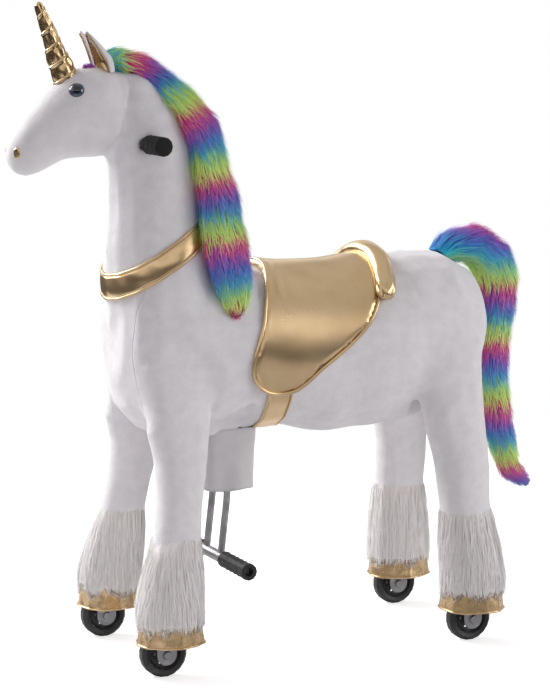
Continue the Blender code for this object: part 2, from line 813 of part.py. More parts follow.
def build_main_beam(joint):
    front, rear = rail_line()
    along = (rear - front).normalized()
    rise = Vector((0, -along.z, along.y))
    beam = rod(
        "beam",
        (0, STEER_Y, HEAD_TUBE_FOOT),
        (0, STEER_Y, HEAD_TUBE_FOOT + HEAD_TUBE_HEIGHT),
        HEAD_TUBE_RADIUS,
    )
    for sign in (-1, 1):
        rail = box(
            "rail",
            (-RAIL_THICKNESS / 2, HEAD_TUBE_RADIUS / 2, -RAIL_DEPTH / 2),
            (RAIL_THICKNESS / 2, (rear - front).length, RAIL_DEPTH / 2),
        )
        turn = Matrix(((1, 0, 0), (0, along.y, rise.y), (0, along.z, rise.z))).to_4x4()
        rail.matrix_world = Matrix.Translation(front + Vector((sign * RAIL_SPREAD, 0, 0))) @ turn
        combine(beam, rail, "UNION")
        bearing = cross_rod(
            "bearing", sign * RAIL_INSIDE, sign * BEARING_END_X, HIP_Y, HIP_HEIGHT, BEARING_RADIUS
        )
        combine(beam, bearing, "UNION")
        pin_end = PEDAL_SPREAD + PEDAL_BAR_RADIUS + RUN_GAP * 3
        pin = cross_rod(
            "pedal_pin", sign * RAIL_SPREAD, sign * pin_end, PEDAL_Y, BEAM_LEVEL, PEDAL_PIN_RADIUS
        )
        combine(beam, pin, "UNION")
    for share in TIE_PLACE_SHARES:
        place = front + (rear - front) * share
        tie = box(
            "tie",
            place - Vector((RAIL_SPREAD, RAIL_THICKNESS, RAIL_DEPTH / 3)),
            place + Vector((RAIL_SPREAD, RAIL_THICKNESS, RAIL_DEPTH / 3)),
        )
        combine(beam, tie, "UNION")
    steer_bore = rod(
        "steer_bore",
        (0, STEER_Y, HEAD_TUBE_FOOT - OVERRUN),
        (0, STEER_Y, HEAD_TUBE_FOOT + HEAD_TUBE_HEIGHT + OVERRUN),
        turning_bore(COLUMN_RADIUS),
    )
    combine(beam, steer_bore)
    bore = turning_bore(SHAFT_RADIUS)
    combine(beam, cross_rod("hip_bore", -DISC_OUTSIDE_X, DISC_OUTSIDE_X, HIP_Y, HIP_HEIGHT, bore))
    return part(settle(beam), "main_beam", DARK_STEEL, joint)


def frame_channel(name):
    """The space that the rails and the rod need inside the stuffing."""
    low_front, high_rear = crank_pins()
    half = RAIL_OUTSIDE + RUN_GAP
    room = ROD_EYE_RADIUS + RUN_GAP * 4
    start = STEER_Y
    end = HIP_Y + BEARING_RADIUS + RUN_GAP * 2
    top_front = BEAM_LEVEL + RAIL_DEPTH / 2 + RUN_GAP
    points = [
        (start, low_front.z - room),
        (end, HIP_HEIGHT - BEARING_RADIUS - RUN_GAP * 2),
        (end, high_rear.z + room),
        (HIP_Y - BEARING_RADIUS * 2, high_rear.z + room),
        (start, top_front),
    ]
    return outline(name, points, -half, half, SIDE_VIEW)


def collar_box(name, grow):
    """The soft collar under the belly that carries the skirt, round the pedal bars."""
    front = SKIRT_Y - SKIRT_LENGTH / 2
    return box(
        name,
        (-SKIRT_WIDTH / 2 - grow, front - grow, 0),
        (SKIRT_WIDTH / 2 + grow, STEER_Y + STEER_RADIUS + OVERRUN, COLLAR_TOP + grow),
    )


def pedal_window(name):
    half = PEDAL_SPREAD + PEDAL_BAR_RADIUS + RUN_GAP * 4
    swing = PEDAL_DROP * math.sin(math.radians(PEDAL_SWING_DEGREES))
    front = PEDAL_Y - PEDAL_EYE_RADIUS - swing / 2 - PEDAL_BAR_RADIUS
    return box(
        name,
        (-half, front, 0),
        (half, PEDAL_Y + PEDAL_EYE_RADIUS + RUN_GAP * 2, BEAM_LEVEL + RAIL_DEPTH),
    )


def leg_room(name, leg, grow, side):
    """The round recess that a leg's top turns in, open below for the leg."""
    radius = leg.disc_radius + grow
    inner = side * (DISC_INSIDE_X - grow)
    outer = side * (BODY_WIDTH / 2 + OVERRUN * 2)
    hole = cross_rod(name, inner, outer, leg.pivot.y, leg.pivot.z, radius, RECESS_SIDES)
    swept = radius * math.tan(math.radians(LEG_SWING_DEGREES))
    low = (min(inner, outer), leg.pivot.y - radius + min(0, leg.swings) * swept, 0)
    high = (max(inner, outer), leg.pivot.y + radius + max(0, leg.swings) * swept, leg.pivot.z)
    combine(hole, box(name + "_below", low, high), "UNION")
    return settle(hole)


def build_torso(joint, rear):
    torso = body_form("torso")
    steer_void = steer_cylinder("steer_void", STEER_RADIUS + RUN_GAP)
    combine(steer_void, collar_box("collar_keep", 0.0))
    combine(torso, settle(steer_void))
    combine(torso, frame_channel("frame_channel"))
    combine(torso, pedal_window("pedal_window"))
    for side in (-1, 1):
        combine(torso, leg_room("hip_room", rear, RUN_GAP, side))
    combine(
        torso,
        cross_rod(
            "hip_pocket",
            -DISC_INSIDE_X - OVERRUN / 2,
            DISC_INSIDE_X + OVERRUN / 2,
            HIP_Y,
            HIP_HEIGHT,
            SPRING_RADIUS + SPRING_WIRE + RUN_GAP * 2,
        ),
    )
    return part(settle(torso), "torso_plush", WHITE_PLUSH, joint)


def saddle_points(grow):
    """The saddle's side outline, moved outwards by a clearance."""
    start = STEER_Y + STEER_RADIUS + SADDLE_START
    top = BODY_LEVEL + BODY_HEIGHT / 2
    points = [(start + u * SADDLE_LENGTH, top - v * FLAP_DROP) for u, v in SADDLE_SHARES]
    if not grow:
        return points
    middle = (sum(p[0] for p in points) / len(points), sum(p[1] for p in points) / len(points))
    grown = []
    for y, z in points:
        reach = math.hypot(y - middle[0], z - middle[1])
        factor = 1 + grow / reach * 2
        grown.append((middle[0] + (y - middle[0]) * factor, middle[1] + (z - middle[1]) * factor))
    return grown


def saddle_prism(name, grow):
    half = BODY_WIDTH / 2 + OVERRUN * 2
    return outline(name, saddle_points(grow), -half, half, SIDE_VIEW)


def build_saddle(joint):
    pad = loft("saddle_pad", body_rings(SADDLE_PAD, BODY_SIDES, SADDLE_CROWN))
    combine(pad, saddle_prism("saddle_prism", 0.0), "INTERSECT")
    combine(pad, body_form("under_saddle", SEAT_GAP))
    combine(pad, steer_cylinder("saddle_steer", STEER_RADIUS + RUN_GAP * 2))
    return part(settle(pad), "saddle_seat", GOLD_FOIL, joint)


def build_cantle(joint):
    start = STEER_Y + STEER_RADIUS + SADDLE_START
    rear = start + SADDLE_LENGTH * CANTLE_PLACE_SHARE
    lean = SADDLE_LENGTH * CANTLE_LEAN_SHARE
    path = []
    for step in range(CANTLE_STEPS + 1):
        angle = math.radians(CANTLE_REACH_DEGREES) * (2 * step / CANTLE_STEPS - 1)
        y = rear - lean * (1 - math.cos(angle))
        level, tall, wide = body_section(y)
        lift = SADDLE_PAD + CANTLE_RADIUS / 2
        path.append(
            Vector((math.sin(angle) * (wide + lift), y, level + math.cos(angle) * (tall + lift)))
        )
    rings = []
    for index, place in enumerate(path):
        before = path[max(0, index - 1)]
        after = path[min(len(path) - 1, index + 1)]
        tangent = (after - before).normalized()
        side = tangent.cross(Vector((0, 1, 0))).normalized()
        across = side.cross(tangent)
        turn = math.pi * (index + CANTLE_CAP_SHARE) / (CANTLE_STEPS + 2 * CANTLE_CAP_SHARE)
        radius = CANTLE_RADIUS * math.sin(turn) ** CANTLE_ROUNDING
        rings.append(ring(place, side, across, radius, radius, CANTLE_SIDES))
    roll = loft("cantle_roll", rings)
    pad = loft("cantle_seat", body_rings(SADDLE_PAD + SEAT_GAP, BODY_SIDES, SADDLE_CROWN))
    combine(roll, pad)
    return part(settle(roll), "saddle_cantle", GOLD_FOIL, joint)


def build_girth(joint):
    middle = STEER_Y + STEER_RADIUS + GIRTH_SETBACK
    strap = body_form("girth", GIRTH_THICKNESS + SEAT_GAP)
    low = (-BODY_WIDTH, middle - GIRTH_WIDTH / 2, 0)
    high = (BODY_WIDTH, middle + GIRTH_WIDTH / 2, BODY_LEVEL)
    combine(strap, box("girth_band", low, high), "INTERSECT")
    combine(strap, body_form("under_girth", SEAT_GAP))
    combine(strap, saddle_prism("girth_flap", SEAT_GAP))
    combine(strap, steer_cylinder("girth_steer", STEER_RADIUS + RUN_GAP * 2))
    combine(strap, collar_box("girth_collar", SEAT_GAP))
    return part(settle(strap), "girth_strap", GOLD_FOIL, joint)


def build_skirt(joint):
    """A cloth tube with soft folds that deepen towards the hem."""
    count = SKIRT_FOLDS * SKIRT_FOLD_STEPS
    middle = SKIRT_Y
    top = COLLAR_TOP
    bm = bmesh.new()
    rows = []
    for share in SKIRT_ROW_SHARES:
        level = top + (SKIRT_HEM_HEIGHT - top) * share
        flare = SKIRT_FOLD * share
        points = ring(
            Vector((0, middle, level)),
            Vector((1, 0, 0)),
            Vector((0, 1, 0)),
            SKIRT_WIDTH / 2 - SKIRT_FOLD + flare,
            SKIRT_LENGTH / 2 - SKIRT_FOLD,
            count,
            SKIRT_SQUARENESS,
        )
        for step, point in enumerate(points):
            wave = math.cos(math.tau * SKIRT_FOLDS * step / count) * SKIRT_FOLD * share / 2
            outward = Vector((point.x, point.y - middle, 0)).normalized()
            point += outward * wave
        rows.append([bm.verts.new(point) for point in points])
    for first, second in zip(rows, rows[1:]):
        for step in range(count):
            after = (step + 1) % count
            bm.faces.new((first[step], second[step], second[after], first[after]))
    mesh = bpy.data.meshes.new("skirt")
    bm.to_mesh(mesh)
    bm.free()
    skirt = helper("skirt", mesh)
    thick = skirt.modifiers.new("Cloth", "SOLIDIFY")
    thick.thickness = SKIRT_CLOTH
    thick.offset = -1
    combine(skirt, body_form("over_skirt", SEAT_GAP))
    return part(settle(skirt), "belly_skirt", WHITE_CLOTH, joint)


def build_tail(joint):
    root = BODY_FRONT_Y + BODY_LENGTH
    path = []
    for reach, fall, _ in TAIL_SHARES:
        path.append(Vector((0, root + reach * TAIL_REACH, TAIL_ROOT_HEIGHT - fall * TAIL_FALL)))
    rings = []
    for index, place in enumerate(path):
        before = path[max(0, index - 1)]
        after = path[min(len(path) - 1, index + 1)]
        tangent = (after - before).normalized()
        rise = tangent.cross(Vector((1, 0, 0))).normalized()
        radius = TAIL_SHARES[index][2] * TAIL_RADIUS
        rings.append(ring(place, Vector((1, 0, 0)), rise, radius, radius, TAIL_SIDES))
    tail = loft("tail", rings)
    combine(tail, body_form("tail_seat", SEAT_GAP))
    return part(settle(tail), "tail", RAINBOW_FUR, joint)


def build_spring(joint):
    """A torsion spring round the left hip bearing, one unbroken wire."""
    total = SPRING_TURNS * SPRING_STEPS
    room = BEARING_END_X - RAIL_OUTSIDE - SPRING_WIRE * 4
    points = []
    for step in range(total + 1):
        angle = math.tau * step / SPRING_STEPS
        x = RAIL_OUTSIDE + SPRING_WIRE * 2 + room * step / total
        points.append(
            (x, HIP_Y + SPRING_RADIUS * math.cos(angle), HIP_HEIGHT + SPRING_RADIUS * math.sin(angle))
        )
    coil = tube("coil", points, SPRING_WIRE, TUBE_RESOLUTION - 1)
    print("hip spring: least gap between turns", round(room / SPRING_TURNS - SPRING_WIRE * 2, 5), "m")
    return part(coil, "hip_spring", STEEL, joint)


# Steered front half


def build_column(joint):
    foot = SHOULDER_HEIGHT - SHAFT_RADIUS - CROSSHEAD_WALL
    top = SHOULDER_HEIGHT + SHAFT_RADIUS + CROSSHEAD_WALL
    half = CROSSHEAD_WIDTH / 2
    column = box(
        "crosshead",
        (-half, STEER_Y - COLUMN_RADIUS, foot),
        (half, SHOULDER_Y + SHAFT_RADIUS + CROSSHEAD_WALL, top),
    )
    shaft = rod(
        "column",
        (0, STEER_Y, SHOULDER_HEIGHT + SHAFT_RADIUS),
        (0, STEER_Y, HANDLE_HEIGHT - HANDLE_BAR_RADIUS / 2),
        COLUMN_RADIUS,
    )
    combine(column, shaft, "UNION")
    collar_foot = HEAD_TUBE_FOOT + HEAD_TUBE_HEIGHT + SEAT_GAP
    collar = rod(
        "collar", (0, STEER_Y, collar_foot), (0, STEER_Y, collar_foot + COLLAR_HEIGHT), COLLAR_RADIUS
    )
    combine(column, collar, "UNION")
    bore = turning_bore(SHAFT_RADIUS)
    combine(column, cross_rod("shaft_bore", -half * 2, half * 2, SHOULDER_Y, SHOULDER_HEIGHT, bore))
    slot_half = CRANK_THICKNESS / 2 + RUN_GAP
    slot_radius = SHAFT_RADIUS + CROSSHEAD_WALL - RUN_GAP
    slot = cross_rod("crank_slot", -slot_half, slot_half, SHOULDER_Y, SHOULDER_HEIGHT, slot_radius)
    low = (-slot_half, STEER_Y - COLUMN_RADIUS - OVERRUN, 0)
    high = (slot_half, SHOULDER_Y + SHAFT_RADIUS + OVERRUN, SHOULDER_HEIGHT)
    combine(slot, box("slot_below", low, high), "UNION")
    combine(column, settle(slot))
    return part(settle(column), "steering_column", DARK_STEEL, joint)


def build_handlebar(joint):
    half = HANDLE_LENGTH / 2 - HANDLE_CLAMP_WALL
    bar = cross_rod("bar", -half, half, HANDLE_Y, HANDLE_HEIGHT, HANDLE_BAR_RADIUS)
    wall = HANDLE_CLAMP_WALL
    foot = HANDLE_HEIGHT - HANDLE_BAR_RADIUS - wall * 2
    clamp = box(
        "clamp",
        (-COLUMN_RADIUS - wall, HANDLE_Y - HANDLE_BAR_RADIUS - wall, foot),
        (COLUMN_RADIUS + wall, STEER_Y + COLUMN_RADIUS + wall, HANDLE_HEIGHT + HANDLE_BAR_RADIUS + wall),
    )
    combine(bar, clamp, "UNION")
    socket = rod(
        "clamp_socket",
        (0, STEER_Y, foot - OVERRUN),
        (0, STEER_Y, HANDLE_HEIGHT - HANDLE_BAR_RADIUS / 2 + SEAT_GAP),
        COLUMN_RADIUS + SEAT_GAP,
    )
    combine(bar, socket)
    return part(settle(bar), "handlebar", DARK_STEEL, joint)


def build_grip(name, joint, side):
    """A foam hand grip with shallow ribs and a domed outer end."""
    bore = HANDLE_BAR_RADIUS + SEAT_GAP
    depth = GRIP_LENGTH - HANDLE_CLAMP_WALL + SEAT_GAP
    profile = [(0, GRIP_LENGTH)]
    profile += [(GRIP_RADIUS * out, GRIP_LENGTH * along) for out, along in GRIP_DOME_SHARES]
    pitch = GRIP_LENGTH * GRIP_RIBBED_SHARE / GRIP_RIBS
    for rib in range(GRIP_RIBS):
        high = GRIP_LENGTH * GRIP_RIB_START_SHARE - rib * pitch
        profile.append((GRIP_RADIUS, high))
        profile.append((GRIP_RADIUS - GRIP_RIB, high - pitch / 2))
    profile += [(GRIP_RADIUS, 0), (bore, 0), (bore, depth), (0, depth)]
    start = HANDLE_LENGTH / 2 - GRIP_LENGTH
    grip = turned(
        name, profile, ROUND_SIDES, (side * start, HANDLE_Y, HANDLE_HEIGHT), (0, side * math.pi / 2, 0)
    )
    return part(grip, name, BLACK_FOAM, joint)


def bores_for_column(name):
    """The channel through chest and neck for the steering column, its bearing and the handlebar."""
    hollow = rod(
        name,
        (0, STEER_Y, SHOULDER_HEIGHT),
        (0, STEER_Y, HANDLE_HEIGHT),
        COLUMN_RADIUS + RUN_GAP,
    )
    head_tube = rod(
        "head_tube_room",
        (0, STEER_Y, HEAD_TUBE_FOOT - RUN_GAP),
        (0, STEER_Y, HEAD_TUBE_FOOT + HEAD_TUBE_HEIGHT + COLLAR_HEIGHT + RUN_GAP),
        HEAD_TUBE_RADIUS + RUN_GAP,
    )
    combine(hollow, head_tube, "UNION")
    half = CROSSHEAD_WIDTH / 2 + RUN_GAP
    reach = SHAFT_RADIUS + CROSSHEAD_WALL + RUN_GAP
    crosshead = box(
        "crosshead_room",
        (-half, STEER_Y - COLUMN_RADIUS - RUN_GAP, SHOULDER_HEIGHT - reach),
        (half, SHOULDER_Y + reach, SHOULDER_HEIGHT + reach),
    )
    combine(hollow, crosshead, "UNION")
    wall = HANDLE_CLAMP_WALL + RUN_GAP
    reach = HANDLE_BAR_RADIUS + wall
    clamp = box(
        "clamp_room",
        (-COLUMN_RADIUS - wall, HANDLE_Y - reach, HANDLE_HEIGHT - reach - wall),
        (COLUMN_RADIUS + wall, STEER_Y + COLUMN_RADIUS + wall, HANDLE_HEIGHT + reach),
    )
    combine(hollow, clamp, "UNION")
    combine(
        hollow,
        cross_rod(
            "bar_room",
            -HANDLE_LENGTH / 2,
            HANDLE_LENGTH / 2,
            HANDLE_Y,
            HANDLE_HEIGHT,
            HANDLE_BAR_RADIUS + RUN_GAP,
        ),
        "UNION",
    )
    reach = DISC_INSIDE_X
    shaft = cross_rod("shaft_room", -reach, reach, SHOULDER_Y, SHOULDER_HEIGHT, SHAFT_RADIUS + RUN_GAP)
    combine(hollow, shaft, "UNION")
    return settle(hollow)


def build_chest(joint, front, hollow):
    chest = body_form("chest")
    combine(chest, steer_cylinder("chest_cylinder", STEER_RADIUS), "INTERSECT")
    low_front, _ = crank_pins()
    beam_top = HEAD_TUBE_FOOT + RAIL_DEPTH + RUN_GAP * 2
    beam_slot = swept_wedge(
        "beam_slot",
        RAIL_OUTSIDE + RUN_GAP * 2,
        -BEAM_SLOT_LEAD,
        low_front.z - CRANK_RADIUS - RUN_GAP * 6,
        beam_top,
    )
    combine(chest, beam_slot)
    bar_edge = PEDAL_SPREAD + PEDAL_BAR_RADIUS + RUN_GAP * 5
    swing = PEDAL_DROP * math.sin(math.radians(PEDAL_SWING_DEGREES)) / 2
    start = PEDAL_SETBACK - PEDAL_EYE_RADIUS - swing
    combine(chest, swept_wedge("pedal_slot", bar_edge, start, 0, beam_top))
    room = RUN_GAP * 3
    collar_start = SKIRT_SETBACK - SKIRT_LENGTH / 2 - room
    combine(chest, swept_wedge("collar_slot", SKIRT_WIDTH / 2 + room, collar_start, 0, COLLAR_TOP + room))
    for side in (-1, 1):
        combine(chest, leg_room("shoulder_room", front, RUN_GAP, side))
    combine(chest, hollow)
    return part(settle(chest), "chest_plush", WHITE_PLUSH, joint)


def build_neck(joint, hollow):
    neck = neck_form("neck")
    combine(neck, body_form("under_neck", SEAT_GAP))
    combine(neck, head_form("head_on_neck", SEAT_GAP))
    combine(neck, hollow)
    return part(settle(neck), "neck_plush", WHITE_PLUSH, joint)


def build_head(joint, hollow):
    head = combine(head_form("head"), hollow)
    return part(settle(head), "head_plush", WHITE_PLUSH, joint)


def build_horn(joint):
    """A cone wound with a spiral groove, sunk to the crown of the head."""
    foot = head_place(*HORN_PLACE_SHARES, 0)
    lean = math.radians(HORN_LEAN_DEGREES)
    axis = Vector((0, -math.sin(lean), math.cos(lean)))
    side = Vector((1, 0, 0))
    out = axis.cross(side)
    levels = HORN_TURNS * HORN_TURN_STEPS
    rings = []
    for level in range(levels + 1):
        share = level / levels
        radius = HORN_FOOT_RADIUS + (HORN_TIP_RADIUS - HORN_FOOT_RADIUS) * share
        points = []
        for step in range(HORN_SIDES):
            turn = step / HORN_SIDES
            wave = abs(math.sin(math.pi * (share * HORN_TURNS - turn)))
            reach = radius - HORN_GROOVE * (1 - wave) * (1 - share * HORN_FADE_SHARE)
            angle = math.tau * turn
            points.append(
                foot
                + axis * (HORN_LENGTH * share)
                + (side * math.cos(angle) + out * math.sin(angle)) * reach
            )
        rings.append(points)
    horn = loft("horn", rings)
    combine(horn, head_form("horn_seat", SEAT_GAP))
    return part(settle(horn), "horn", GOLD_FOIL, joint)


def build_ear(name, joint, side):
    """A folded leaf: crescent sections, hollow to the front, narrowing to a point."""
    foot = head_place(*EAR_PLACE_SHARES, side * EAR_SPREAD * 2 / HEAD_WIDTH)
    mirror = Vector((side, 1, 1))
    up = (Vector(EAR_RISE_DIRECTION) * mirror).normalized()
    across = up.cross(Vector(EAR_BACK_DIRECTION) * mirror).normalized()
    back = across.cross(up)
    rings = []
    for rise, wide in EAR_SHARES:
        centre = foot + up * (EAR_LENGTH * rise) - back * (EAR_LENGTH * EAR_CURL_SHARE * rise**2)
        half = EAR_WIDTH / 2 * wide
        outer = []
        inner = []
        for step in range(EAR_FOLD_STEPS + 1):
            angle = math.pi * step / EAR_FOLD_STEPS
            place = centre + across * (half * math.cos(angle))
            bow = half * EAR_FOLD_SHARE * math.sin(angle)
            outer.append(place + back * (bow + EAR_WALL / 2))
            inner.append(place + back * (bow - EAR_WALL / 2))
        rings.append(outer + inner[::-1])
    ear = loft(name, rings)
    combine(ear, head_form(name + "_seat", SEAT_GAP))
    return part(settle(ear), name, WHITE_PLUSH, joint)


def build_eye(name, joint, side):
    """A glass eye, cut to lie on the head's surface."""
    along, up, out = EYE_PLACE_SHARES
    place = Matrix.Translation(head_place(along, up, side * out))
    bm = bmesh.new()
    bmesh.ops.create_uvsphere(
        bm, u_segments=EYE_SIDES, v_segments=EYE_RINGS, radius=EYE_RADIUS, matrix=place
    )
    mesh = bpy.data.meshes.new(name)
    bm.to_mesh(mesh)
    bm.free()
    eye = combine(helper(name, mesh), head_form(name + "_seat", SEAT_GAP))
    return part(settle(eye), name, EYE_GLOSS, joint)


def mane_form(name, grow=0.0):
    ahead, above = MANE_CROWN_SHARES
    crown = Vector((0, HEAD_BACK_Y - HEAD_HEIGHT * ahead, HEAD_BACK_HEIGHT + HEAD_HEIGHT * above))
    path = []
    for back, fall, swing, _, _, _ in MANE_SHARES:
        path.append(crown + Vector((swing * MANE_SWING, back * MANE_REACH, -fall * MANE_FALL)))
    rings = []
    for index, place in enumerate(path):
        before = path[max(0, index - 1)]
        after = path[min(len(path) - 1, index + 1)]
        tangent = (after - before).normalized()
        _, _, _, wide, thick, face = MANE_SHARES[index]
        face = math.radians(face)
        rise = tangent.cross(Vector((1, 0, 0))).normalized() * -1
        out = (Vector((1, 0, 0)) * math.sin(face) + rise * math.cos(face)).normalized()
        out = (out - tangent * out.dot(tangent)).normalized()
        side = tangent.cross(out)
        rings.append(
            ring(
                place,
                side,
                out,
                wide * MANE_WIDTH / 2 + grow,
                thick * MANE_THICKNESS / 2 + grow,
                MANE_SIDES,
            )
        )
    return loft(name, rings)


def build_mane(joint):
    mane = mane_form("mane")
    combine(mane, head_form("mane_head", SEAT_GAP))
    combine(mane, neck_form("mane_neck", SEAT_GAP))
    combine(mane, body_form("mane_body", SEAT_GAP))
    return part(settle(mane), "mane", RAINBOW_FUR, joint)


def build_strap(joint):
    """The chest strap: a tilted band of even thickness round the foot of the neck."""
    strap = neck_form("strap", STRAP_THICKNESS + SEAT_GAP)
    combine(strap, body_form("strap_body", STRAP_THICKNESS + SEAT_GAP), "UNION")
    band = box(
        "strap_band",
        (-BODY_WIDTH, -STEER_RADIUS, -STRAP_WIDTH / 2),
        (BODY_WIDTH, STEER_RADIUS, STRAP_WIDTH / 2),
    )
    tilt = Matrix.Rotation(math.radians(STRAP_TILT_DEGREES), 4, "X")
    band.matrix_world = Matrix.Translation((0, STEER_Y, STRAP_LEVEL)) @ tilt
    combine(strap, band, "INTERSECT")
    combine(strap, neck_form("under_strap", SEAT_GAP))
    combine(strap, body_form("strap_chest", SEAT_GAP))
    combine(strap, mane_form("over_strap", SEAT_GAP))
    return part(settle(strap), "breast_strap", GOLD_FOIL, joint)


# Legs, alike but for their places and outlines


class Leg:
    """Where one pair of legs hangs, where its wheels stand, and which way along Y it swings."""

    def __init__(self, name, swings, pivot_y, pivot_z, disc_radius, axle_y, hoof_shift, shares):
        self.name = name
        self.swings = swings
        self.pivot = Vector((0, pivot_y, pivot_z))
        self.disc_radius = disc_radius
        self.axle_y = axle_y
        self.hoof_y = axle_y + hoof_shift
        self.shares = shares

    def wheel(self, side):
        return Vector((side * TRACK / 2, self.axle_y, WHEEL_RADIUS))

    def stations(self):
        """(place on the pony's left, half depth, half width) down the leg and the hoof."""
        found = []
        for drop, splay, lean, deep, wide in self.shares:
            x = LEG_TOP_X + splay * (TRACK / 2 - LEG_TOP_X)
            y = self.pivot.y + lean * (self.hoof_y - self.pivot.y)
            z = self.pivot.z - drop * (self.pivot.z - HOOF_TOP)
            found.append((Vector((x, y, z)), deep * LEG_DEPTH / 2, wide * LEG_WIDTH / 2))
        place, half_deep, half_wide = found[-1]
        foot = Vector((place.x, place.y, HOOF_GROUND_GAP))
        found.append((foot, half_deep + HOOF_FLARE, half_wide + HOOF_FLARE))
        return found

    def at_height(self, z):
        found = self.stations()
        for first, second in zip(found, found[1:]):
            if z >= second[0].z:
                break
        t = (first[0].z - z) / (first[0].z - second[0].z)
        place = first[0].lerp(second[0], t)
        return place, first[1] + (second[1] - first[1]) * t, first[2] + (second[2] - first[2]) * t

    def rings(self, heights, side, grow=0.0):
        rings = []
        for z in heights:
            place, half_deep, half_wide = self.at_height(z)
            place = Vector((place.x * side, place.y, z))
            half_wide += grow
            half_deep += grow
            points = ring(
                place,
                Vector((1, 0, 0)),
                Vector((0, 1, 0)),
                half_wide,
                half_deep,
                LEG_SIDES,
                LEG_SQUARENESS,
            )
            for point in points:
                point.x = side * max(side * point.x, DISC_INSIDE_X - grow)
            rings.append(points)
        return rings


def leg_tube_path(leg, side):
    foot = Vector((side * TRACK / 2, leg.axle_y, CROWN_TOP + SEAT_GAP))
    elbow = foot + Vector((0, 0, LEG_ELBOW))
    top = Vector((side * LEG_TOP_X, leg.pivot.y, leg.pivot.z))
    bend = elbow.lerp(top, LEG_ELBOW / (top - elbow).length)
    below = elbow.lerp(foot, TUBE_BEND_SHARE)
    return [foot, below, elbow.lerp(bend, TUBE_BEND_SHARE), top]


def shaft_boss(name, leg, side, grow):
    half = SHAFT_BOSS_WIDTH / 2 + grow
    middle = side * LEG_TOP_X
    return cross_rod(
        name, middle - half, middle + half, leg.pivot.y, leg.pivot.z, SHAFT_BOSS_RADIUS + grow
    )


def build_leg_tube(name, leg, side, joint):
    post = tube(name, leg_tube_path(leg, side), LEG_TUBE_RADIUS)
    combine(post, shaft_boss("boss", leg, side, 0.0), "UNION")
    end = side * (LEG_TOP_X + SHAFT_BOSS_WIDTH)
    combine(post, cross_rod("boss_bore", 0, end, leg.pivot.y, leg.pivot.z, SHAFT_RADIUS + SEAT_GAP))
    foot = leg.wheel(side)
    socket = rod(
        "spigot_socket",
        (foot.x, foot.y, CROWN_TOP - SPIGOT_LENGTH),
        (foot.x, foot.y, CROWN_TOP + SPIGOT_LENGTH + SEAT_GAP),
        SPIGOT_RADIUS + SEAT_GAP,
    )
    combine(post, socket)
    return part(settle(post), name, DARK_STEEL, joint)


def leg_bore(name, leg, side):
    """Room inside the stuffing for the tube, its boss and the shaft's end."""
    bore = tube(name, leg_tube_path(leg, side), LEG_TUBE_RADIUS + SEAT_GAP)
    combine(bore, shaft_boss("boss_room", leg, side, SEAT_GAP), "UNION")
    room = SHAFT_BOSS_RADIUS + SEAT_GAP
    way = cross_rod("shaft_way", 0, side * LEG_TOP_X, leg.pivot.y, leg.pivot.z, room)
    combine(bore, way, "UNION")
    return settle(bore)


def build_leg_plush(name, leg, side, joint, bore):
    radius = leg.disc_radius
    thick = DISC_OUTSIDE_X - DISC_INSIDE_X
    profile = [(radius * out, thick * high) for out, high in LEG_TOP_SHARES]
    place = Vector((side * DISC_INSIDE_X, leg.pivot.y, leg.pivot.z))
    disc = settle(turned(name + "_disc", profile, DISC_SIDES, place, (0, side * math.pi / 2, 0)))
    heights = [place.z for place, _, _ in leg.stations()[:-1]]
    heights[-1] += SEAT_GAP
    plush = loft(name, leg.rings(heights, side))
    combine(plush, disc, "UNION")
    combine(plush, bore)
    return part(settle(plush), name, WHITE_PLUSH, joint)


def build_hoof(name, leg, side, joint, bore):
    hoof = loft(name, leg.rings([HOOF_TOP, HOOF_TOP - HOOF_HEIGHT / 2, HOOF_GROUND_GAP], side))
    wheel = leg.wheel(side)
    arch = cross_rod(
        "wheel_arch",
        wheel.x - FORK_INSIDE,
        wheel.x + FORK_INSIDE,
        wheel.y,
        wheel.z,
        WHEEL_RADIUS + CROWN_CLEARANCE / 2,
        RECESS_SIDES,
    )
    combine(hoof, arch)
    half = FORK_WIDTH / 2 + SEAT_GAP
    low = (wheel.x - FORK_OUTSIDE - SEAT_GAP, wheel.y - half, 0)
    high = (wheel.x + FORK_OUTSIDE + SEAT_GAP, wheel.y + half, CROWN_TOP + SEAT_GAP)
    combine(hoof, box("fork_room", low, high))
    rivet = FORK_OUTSIDE + RIVET_HEIGHT + RUN_GAP
    rivet_room = box(
        "rivet_room",
        (wheel.x - rivet, wheel.y - RIVET_RADIUS - RUN_GAP, 0),
        (wheel.x + rivet, wheel.y + RIVET_RADIUS + RUN_GAP, wheel.z + RIVET_RADIUS + RUN_GAP),
    )
    combine(hoof, rivet_room)
    combine(hoof, bore)
    return part(settle(hoof), name, GOLD_FOIL, joint)


def build_cuff(name, leg, side, joint):
    """The long-haired cuff: a sleeve from mid leg to the hoof, widest at the fetlock."""
    top = HOOF_GROUND_GAP + CUFF_HEIGHT + HOOF_HEIGHT / 4
    outer = []
    for down, fur in CUFF_SHARES:
        z = top - down * CUFF_HEIGHT
        outer += leg.rings([z], side, CUFF_FUR * fur)
    cuff = loft(name, outer)
    heights = [place.z for place, _, _ in leg.stations()]
    core = loft(name + "_core", leg.rings(heights, side, SEAT_GAP))
    combine(cuff, core)
    return part(settle(cuff), name, WHITE_FUR, joint)


